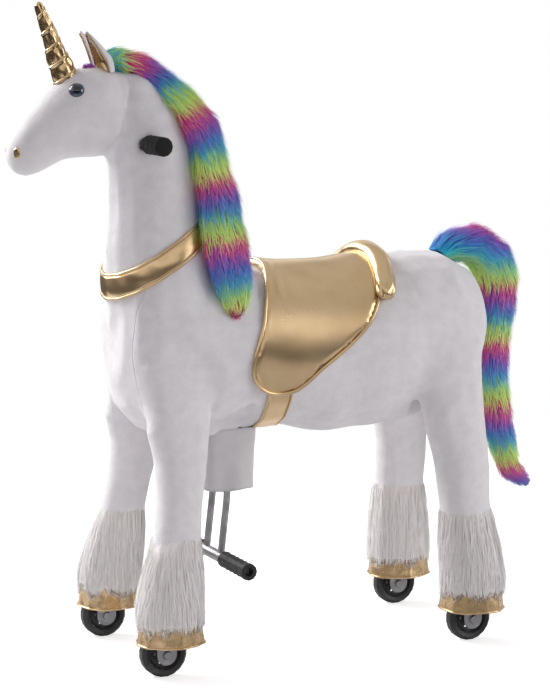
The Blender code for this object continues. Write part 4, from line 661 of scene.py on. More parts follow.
@contextmanager
def editing(obj: Object) -> Iterator[bmesh.types.BMesh]:
    """Opens an object's mesh for changes and writes it back.

    Args:
        obj: The object.

    Yields:
        The open mesh.
    """
    bm = bmesh.new()
    bm.from_mesh(obj.data)
    yield bm
    bm.to_mesh(obj.data)
    bm.free()


def object_of(name: str, mesh: bpy.types.Mesh) -> Object:
    """A new object of a mesh, linked to the scene.

    Args:
        name: Its name.
        mesh: Its mesh.

    Returns:
        The object.
    """
    obj = bpy.data.objects.new(name, mesh)
    bpy.context.scene.collection.objects.link(obj)
    return obj


def mesh_object(name: str, points: Sequence, faces: Sequence) -> Object:
    """A new object from points and faces.

    Args:
        name: Its name.
        points: Its points.
        faces: Its faces, by point number.

    Returns:
        The object.
    """
    mesh = bpy.data.meshes.new(name)
    mesh.from_pydata([tuple(point) for point in points], [], faces)
    mesh.update()
    return object_of(name, mesh)


def node_copy(names: Iterable[str], merge_distance: float = 0.00001) -> Object:
    """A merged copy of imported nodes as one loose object.

    Args:
        names: The nodes to copy.
        merge_distance: How near two points are that become one.

    Returns:
        The new object, at the origin.
    """
    obj = mesh_object("copy", (), ())
    with editing(obj) as bm:
        for name in names:
            bm.from_mesh(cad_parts[name].data)
        bmesh.ops.remove_doubles(bm, verts=bm.verts, dist=merge_distance)
    return obj


def ball(size: Sequence[float], place: Sequence[float], segments: int, rings: int) -> Object:
    """A ball squeezed to a size and set at a place, with its faces in an order that is the same each run.

    Args:
        size: Its half widths.
        place: Its middle.
        segments: How many columns of faces it has.
        rings: How many rows.

    Returns:
        The ball.
    """
    deselect()
    bpy.ops.mesh.primitive_uv_sphere_add(segments=segments, ring_count=rings, radius=1.0)
    obj = bpy.context.object
    points = points_of(obj) * np.array(size) + np.array(place)
    faces = []
    for polygon in obj.data.polygons:
        face = tuple(polygon.vertices)
        first = face.index(min(face))
        faces.append(face[first:] + face[:first])
    obj.data.clear_geometry()
    obj.data.from_pydata(points.tolist(), [], sorted(faces))
    return obj


def apply_modifier(obj: Object, kind: str, **settings: object) -> None:
    """Adds a modifier and applies it.

    Args:
        obj: The object.
        kind: The modifier's type.
        **settings: Its properties.
    """
    activate(obj)
    modifier = obj.modifiers.new(kind.title(), kind)
    for key, value in settings.items():
        setattr(modifier, key, value)
    bpy.ops.object.modifier_apply(modifier=modifier.name)


def points_of(obj: Object) -> np.ndarray:
    """The mesh's points.

    Args:
        obj: The object.

    Returns:
        Rows of X, Y, Z.
    """
    points = np.empty(len(obj.data.vertices) * 3)
    obj.data.vertices.foreach_get("co", points)
    return points.reshape(-1, 3)


def normals_of(obj: Object) -> np.ndarray:
    """The directions in which the mesh's points face.

    Args:
        obj: The object.

    Returns:
        Rows of X, Y, Z.
    """
    normals = np.empty(len(obj.data.vertices) * 3, np.float32)
    obj.data.vertex_normals.foreach_get("vector", normals)
    return normals.reshape(-1, 3).astype(float)


def set_points(obj: Object, points: np.ndarray) -> None:
    """Writes the mesh's points back."""
    obj.data.vertices.foreach_set("co", points.astype(np.float32).ravel())
    obj.data.update()


def push(obj: Object, way: np.ndarray, reach: np.ndarray) -> None:
    """Moves each point along its own direction by its own reach."""
    set_points(obj, points_of(obj) + way * reach[:, None])


def store(obj: Object, label: str, values: Sequence[float]) -> None:
    """Stores a number on each point of a mesh."""
    obj.data.attributes.new(label, "FLOAT", "POINT").data.foreach_set("value", list(values))


def averager(obj: Object) -> Callable[[np.ndarray], np.ndarray]:
    """A function that gives each point the mean of its neighbours' values.

    Args:
        obj: The mesh.

    Returns:
        The function, from one row for each point to one row for each point.
    """
    edges = np.empty(len(obj.data.edges) * 2, np.int64)
    obj.data.edges.foreach_get("vertices", edges)
    first, second = edges.reshape(-1, 2).T
    size = len(obj.data.vertices)
    count = np.bincount(edges, minlength=size).clip(1)

    def column_mean(row: np.ndarray) -> np.ndarray:
        """The mean of one number over each point's neighbours."""
        return (np.bincount(first, row[second], size) + np.bincount(second, row[first], size)) / count

    return lambda values: np.stack([column_mean(row) for row in values.T], axis=1)


def relax(obj: Object, rounds: int, shrink: float = 0.5, swell: float = -0.53) -> None:
    """Smooths a mesh without shrinking it.

    Args:
        obj: The object.
        rounds: How many double passes run.
        shrink: The share each point moves towards its neighbours.
        swell: The share it moves back.
    """
    mean = averager(obj)
    points = points_of(obj)
    for _ in range(rounds):
        for factor in (shrink, swell):
            points += (mean(points) - points) * factor
    set_points(obj, points)


def keep_largest(obj: Object) -> None:
    """Drops every loose island but the one with the most points.

    Args:
        obj: The object.
    """
    with editing(obj) as bm:
        left = set(bm.verts)
        islands = []
        while left:
            seed = left.pop()
            island = {seed}
            front = [seed]
            while front:
                near = {vert for edge in front.pop().link_edges for vert in edge.verts} - island
                island |= near
                front += near
            left -= island
            islands.append(island)
        islands.sort(key=len)
        spare = [vert for island in islands[:-1] for vert in island]
        bmesh.ops.delete(bm, geom=spare, context="VERTS")


def remake(obj: Object, voxel: float, rounds: int) -> None:
    """Gives a mesh even faces, drops its loose islands and smooths it.

    Args:
        obj: The object.
        voxel: The faces' size.
        rounds: How many smoothing passes run.
    """
    apply_modifier(obj, "REMESH", mode="VOXEL", voxel_size=voxel)
    keep_largest(obj)
    relax(obj, rounds)


def waves(points: np.ndarray, seed: int, length: float, count: int = 14) -> np.ndarray:
    """Soft random undulation from a sum of plane waves.

    Args:
        points: Where it is wanted.
        seed: Which pattern.
        length: The waves' rough length in metres.
        count: How many waves are summed.

    Returns:
        One value for each point, about -1 to 1.
    """
    rng = np.random.default_rng(seed)
    total = np.zeros(len(points))
    for _ in range(count):
        direction = rng.normal(size=3)
        direction /= np.linalg.norm(direction)
        pitch = math.tau / (length * rng.uniform(0.7, 1.6))
        total += np.sin(points @ direction * pitch + rng.uniform(0, math.tau))
    return total / math.sqrt(count)


def tree_of(obj: Object) -> BVHTree:
    """A search tree over the mesh's faces.

    Args:
        obj: The object.

    Returns:
        The tree.
    """
    bm = bmesh.new()
    bm.from_mesh(obj.data)
    tree = BVHTree.FromBMesh(bm)
    bm.free()
    return tree


def mirrored(place: Triple, side: int) -> Vector:
    """A place that is given for the left side, on either side."""
    return Vector((place[0] * side, place[1], place[2]))


def ring_way(angle: float) -> Vector:
    """The level direction at an angle from X."""
    return Vector((math.cos(angle), math.sin(angle), 0))


def grid_faces(rows: int, columns: int, around: bool) -> list[tuple[int, ...]]:
    """Quads over a grid of points.

    Args:
        rows: How many rows of points.
        columns: How many points in a row.
        around: Whether each row closes on itself.

    Returns:
        The faces.
    """
    faces = []
    for row in range(rows - 1):
        here = row * columns
        for column in range(columns if around else columns - 1):
            after = (column + 1) % columns
            faces.append((here + column, here + after, here + columns + after, here + columns + column))
    return faces


def end_faces(rows: int, columns: int) -> list[tuple[int, ...]]:
    """The two faces that close a tube of points."""
    last = (rows - 1) * columns
    return [tuple(reversed(range(columns))), tuple(range(last, last + columns))]


def tube_along(name: str, path: Sequence[Vector], radius: float, closed: bool, sides: int = 8) -> Object:
    """A round cord that follows a path.

    Args:
        name: The piece's name.
        path: The points that it follows.
        radius: Its radius.
        closed: Whether its ends meet.
        sides: How many sides it has.

    Returns:
        The cord as a mesh.
    """
    count = len(path)
    points = []
    out = None
    for index, place in enumerate(path):
        before = path[index - 1] if closed or index else place
        after = path[(index + 1) % count] if closed or index < count - 1 else place
        tangent = (after - before).normalized()
        if out is None:
            out = tangent.orthogonal().normalized()
        out = (out - tangent * out.dot(tangent)).normalized()
        side = tangent.cross(out)
        for step in range(sides):
            angle = math.tau * step / sides
            points.append(place + (out * math.cos(angle) + side * math.sin(angle)) * radius)
    faces = grid_faces(count, sides, True)
    if not closed:
        return mesh_object(name, points, faces + end_faces(count, sides))
    last = (count - 1) * sides

    def gap(shift: int) -> float:
        """How far the last ring is from the first, turned by so many sides."""
        return sum((points[(s + shift) % sides] - points[last + s]).length for s in range(sides))

    turn = min(range(sides), key=gap)
    for step in range(sides):
        after = (step + 1) % sides
        faces.append((last + step, last + after, (after + turn) % sides, (step + turn) % sides))
    return mesh_object(name, points, faces)


def finish_piece(
    obj: Object,
    name: str,
    look: Material,
    body: Optional[Body],
    stands_for: Iterable[str] = (),
    recalculate: bool = True,
) -> None:
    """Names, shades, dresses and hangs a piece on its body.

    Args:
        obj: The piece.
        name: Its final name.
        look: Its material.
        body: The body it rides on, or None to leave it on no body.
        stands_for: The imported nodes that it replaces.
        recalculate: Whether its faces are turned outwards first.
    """
    if recalculate:
        with editing(obj) as bm:
            bmesh.ops.recalc_face_normals(bm, faces=bm.faces)
    obj.name = name
    obj.data.name = name
    obj.data.materials.clear()
    obj.data.materials.append(look)
    obj.data.shade_smooth()
    if body is not None:
        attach(obj, body.value)
    if stands_for:
        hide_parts(*stands_for)
    LOG.info("%s: %d faces", name, len(obj.data.polygons))


# Hair


@dataclass
class Hair:
    """Strands that grow from a core and lie along a flow.

    Attributes:
        count: How many strands.
        length: Their length in metres.
        width: The width of each at its root.
        steps: How many pieces each is made of.
        lift: How far the tips stand off the core.
        scatter: How far strands stray from the flow.
        seed: The random seed.
        length_spread: The shortest and longest strand, as shares of the length.
        lift_spread: The least and greatest lift, as shares of the lift.
        dye_spread: How much neighbours' dye numbers differ.
        taper: How much of its width a strand loses towards its tip.
        root_lift: How far the root stands off the core.
        settle: How quickly a strand that stands too far off comes down.
        tries: How many places are tried for each strand.
    """

    count: int
    length: float
    width: float
    steps: int
    lift: float
    scatter: float
    seed: int
    length_spread: Pair = (0.65, 1.15)
    lift_spread: Pair = (0.4, 1.3)
    dye_spread: float = 0.02
    taper: float = 0.85
    root_lift: float = 0.0006
    settle: float = 0.35
    tries: int = 12

    def grow(
        self,
        name: str,
        core: Object,
        flow: Callable[[Vector], Vector],
        accept: Callable[[Vector], bool],
        dye: Optional[Callable[[Vector], float]] = None,
        floor: Callable[[random.Random], float] = lambda rng: -1.0,
    ) -> Object:
        """Grows the strands, and stores each point's share along its strand and dye number on them.

        Args:
            name: Their name.
            core: The mesh that they grow from.
            flow: The way the hair lies at a place.
            accept: Which places grow hair.
            dye: The dye's number at a place.
            floor: The least height that a strand may reach.

        Returns:
            The strands.
        """
        rng = random.Random(self.seed)
        tree = tree_of(core)
        mesh = core.data
        mesh.calc_loop_triangles()
        triangles = [tuple(mesh.vertices[v].co.copy() for v in t.vertices) for t in mesh.loop_triangles]
        areas = np.cumsum([(b - a).cross(c - a).length for a, b, c in triangles])
        points: list[Vector] = []
        faces: list[tuple[int, ...]] = []
        tips: list[float] = []
        dyes: list[float] = []
        made = 0
        for _ in range(self.count * self.tries):
            if made == self.count:
                break
            a, b, c = triangles[int(np.searchsorted(areas, rng.random() * areas[-1]))]
            u, v = sorted((rng.random(), rng.random()))
            root = a * u + b * (v - u) + c * (1 - v)
            if not accept(root):
                continue
            strand = self._strand(rng, tree, root, flow, floor(rng))
            if len(strand) < 3:
                continue
            made += 1
            number = dye(root) + rng.gauss(0, self.dye_spread) if dye else 0.0
            base = len(points)
            for index, (place, side) in enumerate(strand):
                share = index / (len(strand) - 1)
                half = side * (self.width * (1 - share**2 * self.taper) / 2)
                points += [place - half, place + half]
                tips += [share, share]
                dyes += [number, number]
            for here in range(base, len(points) - 2, 2):
                faces.append((here, here + 1, here + 3, here + 2))
        obj = mesh_object(name, points, faces)
        store(obj, "tip", tips)
        store(obj, "dye", dyes)
        return obj

    def _strand(
        self, rng: random.Random, tree: BVHTree, root: Vector, flow: Callable[[Vector], Vector], floor: float
    ) -> list[tuple[Vector, Vector]]:
        """Walks one strand over the core.

        Args:
            rng: The random source.
            tree: The core's search tree.
            root: Where it starts.
            flow: The way the hair lies.
            floor: The least height it may reach.

        Returns:
            Its points and the direction across it at each.
        """
        stride = self.length * rng.uniform(*self.length_spread) / self.steps
        stray = Vector((rng.gauss(0, 1), rng.gauss(0, 1), rng.gauss(0, 1))) * self.scatter
        rise = self.lift * rng.uniform(*self.lift_spread)
        place = root
        strand = []
        for index in range(self.steps + 1):
            near, normal, _, _ = tree.find_nearest(place)
            if near is None:
                break
            share = index / self.steps
            way = flow(place) + stray * (0.5 + share)
            way = way - normal * (way.dot(normal) * 0.9)
            if way.length < 1e-6:
                break
            way.normalize()
            held = near + normal * (self.root_lift + rise * share**1.3)
            if (place - near).dot(normal) > rise:
                held = place.lerp(held, self.settle)
            if held.z < floor:
                break
            strand.append((held, way.cross(normal).normalized()))
            place = held + way * stride
        return strand


# The sewn skin


@dataclass(frozen=True)
class SkinPart:
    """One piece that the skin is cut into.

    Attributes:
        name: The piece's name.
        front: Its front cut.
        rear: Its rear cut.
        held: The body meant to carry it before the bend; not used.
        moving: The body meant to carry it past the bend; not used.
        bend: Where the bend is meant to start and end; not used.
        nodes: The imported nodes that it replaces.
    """

    name: str
    front: float
    rear: float
    held: Body
    moving: Body
    bend: tuple[Triple, Triple]
    nodes: tuple[str, ...]


@dataclass
class Skin:
    """The white plush over torso, chest, neck, head and legs, as smooth sewn cloth."""

    look: Material
    voxel: float = 0.005
    smooth_rounds: int = 26
    swell: float = 0.0008
    swell_foot_z: float = 0.12
    swell_fade: float = 0.1
    steer_start_y: float = -0.135
    steer_end_y: float = -0.092
    rump_y: float = 0.150
    shoulder_bend: tuple[Triple, Triple] = ((0, -0.148, 0.385), (0, -0.218, 0.315))
    hip_bend: tuple[Triple, Triple] = ((0, 0.165, 0.360), (0, 0.235, 0.310))
    core_shares: Triple = (0.90, 0.95, 0.84)
    wave_height: float = 0.0009
    wave_length: float = 0.07
    smooth_places: tuple[tuple[float, float, float, float], ...] = (
        (0.0, -0.245, 0.868, 0.055),
        (0.075, -0.262, 0.395, 0.050),
        (0.120, -0.200, 0.415, 0.065),
        (0.120, 0.200, 0.470, 0.080),
        (0.120, 0.180, 0.395, 0.060),
    )
    smooth_place_rounds: int = 120
    smooth_place_share: float = 0.6
    smooth_place_core: float = 1.6
    cheek_depth: float = 0.0058
    cheek_reach: float = 0.008
    cheek_swell: float = 0.35
    cheek_inner_x: float = 0.018
    cheek_fade: float = 0.015
    cheek_edge: tuple[Pair, ...] = (
        (-0.2600, 0.8480),
        (-0.2609, 0.8307),
        (-0.2648, 0.8126),
        (-0.2734, 0.7804),
        (-0.2830, 0.7610),
        (-0.2942, 0.7460),
    )
    fill: float = 0.8
    tree: Optional[BVHTree] = None
    trunk_nodes: tuple[str, ...] = ("torso_plush", "chest_plush", "neck_plush", "head_plush")
    legs: tuple[str, ...] = ("front_left", "front_right", "rear_left", "rear_right")

    def stuffing_core(self) -> Object:
        """A block inside the barrel that closes the frame's slots under the cloth.

        Returns:
            The block.
        """
        core = node_copy(("torso_plush", "chest_plush"))
        with editing(core) as bm:
            hull = bmesh.ops.convex_hull(bm, input=bm.verts)
            unused = hull["geom_interior"] + hull["geom_unused"]
            spare = [item for item in unused if isinstance(item, bmesh.types.BMVert)]
            bmesh.ops.delete(bm, geom=spare, context="VERTS")
            keep = {item for item in hull["geom"] if isinstance(item, bmesh.types.BMFace)}
            bmesh.ops.delete(bm, geom=[face for face in bm.faces if face not in keep], context="FACES")
        points = points_of(core)
        middle = np.array((Vector(points.min(0)) + Vector(points.max(0))) / 2)
        set_points(core, (points - middle) * np.array(self.core_shares) + middle)
        return core

    def build(self) -> None:
        """Makes the whole skin and cuts it into pieces."""
        whole = node_copy(self.trunk_nodes)
        join(whole, [node_copy((leg + "_leg_plush",)) for leg in self.legs] + [self.stuffing_core()])
        remake(whole, self.voxel, self.smooth_rounds)
        points = points_of(whole)
        lift = self.swell + self.wave_height * waves(points, 3, self.wave_length)
        lift = lift * np.clip((points[:, 2] - self.swell_foot_z) / self.swell_fade, 0, 1)
        push(whole, normals_of(whole), lift)
        self.settle_places(whole)
        self.tuck_cheek(whole)
        self.tree = tree_of(whole)
        self.cut(whole)

    def settle_places(self, whole: Object) -> None:
        """Evens out the bumps that the solids leave where two of them meet.

        Args:
            whole: The skin.
        """
        mean = averager(whole)
        points = points_of(whole)
        weight = np.zeros(len(points))
        for x, y, z, radius in self.smooth_places:
            for side in (LEFT, RIGHT):
                gap = np.linalg.norm(points - np.array((x * side, y, z)), axis=1)
                weight = np.maximum(weight, np.clip(self.smooth_place_core * (1 - gap / radius), 0, 1))
        for _ in range(self.smooth_place_rounds):
            points += (mean(points) - points) * (self.smooth_place_share * weight[:, None])
        set_points(whole, points)

    def tuck_cheek(self, whole: Object) -> None:
        """Tucks the neck in behind the round edge of each cheek.

        Args:
            whole: The skin.
        """
        points = points_of(whole)
        flat = points[:, 1:]
        edge = np.array(self.cheek_edge)
        gap = np.full(len(points), np.inf)
        behind = np.zeros(len(points))
        for first, second in zip(edge, edge[1:]):
            leg = second - first
            t = np.clip((flat - first) @ leg / (leg @ leg), 0, 1)
            away = flat - first - t[:, None] * leg
            reach = np.linalg.norm(away, axis=1)
            side = leg[0] * away[:, 1] - leg[1] * away[:, 0]
            closer = reach < gap
            gap = np.where(closer, reach, gap)
            behind = np.where(closer, np.sign(side), behind)
        flank = np.clip((np.abs(points[:, 0]) - self.cheek_inner_x) / self.cheek_fade, 0, 1)
        reach = self.cheek_depth * np.exp(-gap / self.cheek_reach)
        push(whole, normals_of(whole), np.where(behind > 0, -reach, reach * self.cheek_swell) * flank)

    def cut(self, whole: Object) -> None:
        """Cuts the skin across the barrel into three pieces.

        Args:
            whole: The skin.
        """
        steer, rump = self.steer_start_y, self.rump_y
        front_legs, rear_legs = self.legs[:2], self.legs[2:]
        parts = (
            SkinPart(
                "plush_front", -1.0, steer, Body.FRONT_FORK, Body.FRONT_LEGS, self.shoulder_bend,
                self.trunk_nodes[1:] + tuple(leg + "_leg_plush" for leg in front_legs),
            ),
            SkinPart(
                "plush_middle", steer, rump, Body.FRONT_FORK, Body.CHASSIS,
                ((0, steer, 0), (0, self.steer_end_y, 0)), self.trunk_nodes[:1],
            ),
            SkinPart(
                "plush_rear", rump, 1.0, Body.CHASSIS, Body.REAR_LEGS, self.hip_bend,
                tuple(leg + "_leg_plush" for leg in rear_legs),
            ),
        )
        bm = bmesh.new()
        bm.from_mesh(whole.data)
        for y in (steer, rump):
            geometry = [*bm.verts, *bm.edges, *bm.faces]
            bmesh.ops.bisect_plane(bm, geom=geometry, plane_co=(0, y, 0), plane_no=(0, 1, 0))
        bm.normal_update()
        for part in parts:
            self.dress(bm, part)
        bm.free()
        bpy.data.objects.remove(whole, do_unlink=True)

    def dress(self, whole: bmesh.types.BMesh, part: SkinPart) -> None:
        """Takes one piece from the skin and finishes it, with the whole skin's normals along its cuts.

        Args:
            whole: The whole skin, already divided at the cuts.
            part: Which piece.
        """
        piece = whole.copy()
        spare = [face for face in piece.faces if not part.front < face.calc_center_median().y < part.rear]
        bmesh.ops.delete(piece, geom=spare, context="FACES")
        normals = [vert.normal.copy() for vert in piece.verts]
        mesh = bpy.data.meshes.new(part.name)
        piece.to_mesh(mesh)
        piece.free()
        obj = object_of(part.name, mesh)
        finish_piece(obj, part.name, self.look, None, part.nodes, recalculate=False)
        mesh.normals_split_custom_set_from_vertices(normals)
        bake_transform(obj)

    def surface_at(self, origin: Vector, way: Vector, reach: float = 0.5) -> tuple[Vector, Vector]:
        """Where a ray from outside meets the skin.

        Args:
            origin: A place inside or on the axis of the ray.
            way: The direction from it to the outside.
            reach: How far outside the ray starts.

        Returns:
            The place and the outward normal there.
        """
        hit, normal, _, _ = self.tree.ray_cast(origin + way * reach, -way)
        if hit is None:
            hit, normal, _, _ = self.tree.find_nearest(origin)
        return hit, normal


# Saddle, straps and hooves


@dataclass
class Band:
    """A foil strap laid round the skin, with a piped cord along each edge."""

    skin: Skin
    look: Material
    name: str
    centre: Vector
    rear: Vector
    width: float
    node: str
    body: Body
    start_degrees: float = 0.0
    end_degrees: float = 360.0
    offset: float = 0.0016
    thickness: float = 0.0022
    piping: float = 0.0022
    piping_lift: float = 0.0008
    steps: int = 120
    across: int = 6
    crown: float = 0.0012
    crumple: float = 0.0008
    crumple_counts: Pair = (9, 4)
    crumple_slant: float = 5
    seed: int = 7

    def build(self) -> None:
        """Lays the strap and its cords."""
        span = self.end_degrees - self.start_degrees
        closed = span >= 360
        normal = ACROSS.cross(self.rear).normalized()
        rows: list[list[Vector]] = []
        edges: tuple[list[Vector], list[Vector]] = ([], [])
        count = self.steps if closed else self.steps + 1
        rng = random.Random(self.seed)
        phases = [rng.uniform(0, math.tau) for _ in self.crumple_counts]
        for step in range(count):
            angle = math.radians(self.start_degrees + span * step / self.steps)
            way = ACROSS * math.cos(angle) + self.rear * math.sin(angle)
            row = []
            for column in range(self.across + 1):
                share = column / self.across - 0.5
                place, _ = self.skin.surface_at(self.centre + normal * (share * self.width), way)
                ruck = math.sin(angle * self.crumple_counts[0] + phases[0] + share * self.crumple_slant)
                ruck *= math.sin(angle * self.crumple_counts[1] + phases[1])
                bulge = 1 - (2 * share) ** 2
                stand_off = self.offset + self.crumple * (ruck + 1) * bulge + self.crown * bulge
                row.append(place + way * stand_off)
            rows.append(row)
            edges[0].append(row[0] + way * self.piping_lift)
            edges[1].append(row[-1] + way * self.piping_lift)
        columns = self.across + 1
        faces = grid_faces(count, columns, False)
        if closed:
            last = (count - 1) * columns
            for column in range(self.across):
                faces.append((last + column, last + column + 1, column + 1, column))
        strap = mesh_object(self.name, [place for row in rows for place in row], faces)
        relax(strap, 3)
        apply_modifier(strap, "SOLIDIFY", thickness=self.thickness, offset=0.0)
        finish_piece(strap, self.name, self.look, self.body, (self.node,))
        for index, edge in enumerate(edges):
            name = f"{self.name}_piping_{index + 1}"
            finish_piece(tube_along(name, edge, self.piping, closed), name, self.look, self.body)


@dataclass
class Saddle:
    """The padded foil saddle with its piping and rolled cantle."""

    look: Material
    quick: bool
    voxel: float = 0.0032
    fill: float = 0.7
    pressure: float = 2.2
    frames: int = 16
    most_move: float = 0.004
    piping: float = 0.0028
    piping_inset: float = 0.0056
    piping_spacing: float = 0.004
    piping_sink: Pair = (0.0008, 0.0006)
    piping_steps: int = 26
    barrel_z: float = 0.44
    flank_top_z: float = 0.556
    flank_middle: Triple = (0, 0.01, 0.49)
    crown_terms: tuple[int, int] = (5, 4)
    outer_facing: float = 0.95
    facing_span: Pair = (0.6, 0.9)
    pucker_y: float = -0.02
    pucker_z: float = 0.52
    pucker_fade: float = 0.03
    pucker_height: float = 0.0008
    pucker_pitch: Triple = (60, 330, 60)
    lump_height: float = 0.0005
    lump_length: float = 0.09
    under_x: float = 0.09
    roll_degrees: float = 52.0
    roll_path: tuple[Triple, ...] = (
        (0.0, 0.1475, 0.1345),
        (20.0, 0.1455, 0.1325),
        (30.0, 0.1425, 0.1285),
        (40.0, 0.1375, 0.1240),
        (52.0, 0.1340, 0.1190),
    )
    roll_width: float = 0.0158
    roll_height: float = 0.0118
    roll_rows: int = 105
    roll_columns: int = 40
    roll_gather: float = 0.55
    roll_folds: tuple[Triple, Triple] = ((0.15, 5, 0.35), (0.07, 9, -0.5))
    outline: tuple[Pair, ...] = (
        (-0.0462, 0.5807),
        (-0.0597, 0.5549),
        (-0.0688, 0.5312),
        (-0.0777, 0.4968),
        (-0.0890, 0.4667),
        (-0.0969, 0.4431),
        (-0.0969, 0.4216),
        (-0.0879, 0.4055),
        (-0.0744, 0.3958),
        (-0.0507, 0.3915),
        (-0.0260, 0.3947),
        (-0.0080, 0.4087),
        (0.0123, 0.4259),
        (0.0348, 0.4420),
        (0.0595, 0.4592),
        (0.0798, 0.4764),
        (0.0944, 0.4925),
        (0.1068, 0.5119),
        (0.1158, 0.5312),
        (0.1214, 0.5549),
        (0.1338, 0.5807),
    )

    def build(self) -> None:
        """Makes the seat, the piping and the cantle."""
        seat = node_copy(("saddle_seat",))
        remake(seat, self.voxel, 8)
        if not self.quick:
            self.puff(seat)
        for _ in range(2):
            self.even_outside(seat)
            relax(seat, 5)
        points = points_of(seat)
        normals = normals_of(seat)
        x, y, z = points.T
        pitch_x, pitch_y, pitch_z = self.pucker_pitch
        front = np.clip((self.pucker_y - y) / self.pucker_fade, 0, 1)
        front = front * np.clip((z - self.pucker_z) / self.pucker_fade, 0, 1)
        ruck = np.sin(y * pitch_y + x * pitch_x + 1.5 * np.sin(z * pitch_z))
        lift = self.lump_height * waves(points, 11, self.lump_length) + self.pucker_height * ruck * front
        outside = (normals[:, 2] > -0.2) | (np.abs(x) > self.under_x)
        push(seat, normals, lift * outside)
        relax(seat, 1)
        apply_modifier(seat, "SUBSURF", levels=1, render_levels=1)
        finish_piece(
            seat, "saddle_pad", self.look, Body.CHASSIS, ("saddle_seat",), recalculate=False
        )
        self.pipe(tree_of(seat))
        self.build_cantle()

    def even_outside(self, seat: Object) -> None:
        """Draws the outer face to one smooth crowned surface, and leaves the edges rolled.

        Args:
            seat: The pad.
        """
        points = points_of(seat)
        height = points[:, 2] - self.barrel_z
        reach = np.hypot(points[:, 0], height)
        turn = np.arctan2(points[:, 0], height)
        outward = np.stack((points[:, 0], np.zeros_like(reach), height), axis=1) / reach[:, None]
        facing = (normals_of(seat) * outward).sum(1)[:, None]
        mean = averager(seat)
        for _ in range(6):
            facing = mean(facing)
        facing = facing[:, 0]
        turns, travels = self.crown_terms
        terms = [turn ** (2 * i) * (points[:, 1] * 10) ** j for i in range(turns) for j in range(travels)]
        table = np.stack(terms, axis=1)
        known = facing > self.outer_facing
        shares, _, _, _ = np.linalg.lstsq(table[known], reach[known], rcond=None)
        low, high = self.facing_span
        weight = np.clip((facing - low) / (high - low), 0, 1)
        push(seat, outward, (table @ shares - reach) * weight)

    def puff(self, seat: Object) -> None:
        """Blows the pad up slightly with a cloth simulation.

        Args:
            seat: The pad.
        """
        before = points_of(seat)
        activate(seat)
        cloth = seat.modifiers.new("Cloth", "CLOTH")
        cloth.settings.use_pressure = True
        cloth.settings.uniform_pressure_force = self.pressure
        cloth.settings.effector_weights.gravity = 0.0
        cloth.settings.quality = 4
        cloth.point_cache.frame_start = 1
        cloth.point_cache.frame_end = self.frames
        for step in range(1, self.frames + 1):
            bpy.context.scene.frame_set(step)
        bpy.ops.object.modifier_apply(modifier=cloth.name)
        bpy.context.scene.frame_set(1)
        moved = points_of(seat) - before
        reach = np.linalg.norm(moved, axis=1, keepdims=True)
        moved *= np.minimum(1.0, self.most_move / np.maximum(reach, 1e-9))
        set_points(seat, before + moved)

    def pipe(self, tree: BVHTree) -> None:
        """Runs the piping round the saddle's edge, once round both flaps and over the back.

        Args:
            tree: The pad's search tree.
        """
        loop: list[Vector] = []
        middle = Vector(self.flank_middle)
        side_sink, top_sink = self.piping_sink
        for side in (LEFT, RIGHT):
            outline = self.outline[::side]
            for y, z in outline:
                if z > self.flank_top_z:
                    continue
                inset = (Vector((0, y, z)) - middle).normalized() * self.piping_inset
                start = Vector((side * 0.3, y - inset.y, z - inset.z))
                hit, _, _, _ = tree.ray_cast(start, ACROSS * -side)
                if hit is not None:
                    loop.append(Vector((hit.x - side * side_sink, y, z)))
            top = loop[-1]
            y_over = outline[-1][0]
            inward = -self.piping_inset if y_over > 0 else self.piping_inset
            begin = math.atan2(top.z - self.barrel_z, top.x)
            for step in range(1, self.piping_steps):
                angle = begin + (math.pi - 2 * begin) * step / self.piping_steps
                way = Vector((math.cos(angle), 0, math.sin(angle)))
                share = min(1.0, 3.0 * min(step, self.piping_steps - step) / self.piping_steps)
                y_here = top.y + (y_over - top.y) * share
                hit, _, _, _ = tree.ray_cast(Vector((0, y_here + inward, self.barrel_z)) + way * 0.3, -way)
                if hit is not None:
                    loop.append(Vector((hit.x, y_here, hit.z)) - way * top_sink)
        cord = tube_along("saddle_piping", self.evened(loop, self.piping_spacing), self.piping, True)
        finish_piece(cord, "saddle_piping", self.look, Body.CHASSIS)

    @staticmethod
    def evened(loop: list[Vector], stride: float) -> list[Vector]:
        """Spaces a closed path's points evenly and rounds its corners.

        Args:
            loop: The path.
            stride: The wanted spacing.

        Returns:
            The evened path.
        """
        points = np.array([tuple(place) for place in loop])
        closed = np.vstack((points, points[:1]))
        lengths = np.concatenate(([0], np.cumsum(np.linalg.norm(np.diff(closed, axis=0), axis=1))))
        marks = np.arange(0, lengths[-1], stride)
        even = np.stack([np.interp(marks, lengths, closed[:, axis]) for axis in range(3)], axis=1)
        for _ in range(8):
            even = (np.roll(even, 1, 0) + even * 2 + np.roll(even, -1, 0)) / 4
        return [Vector(row) for row in even]

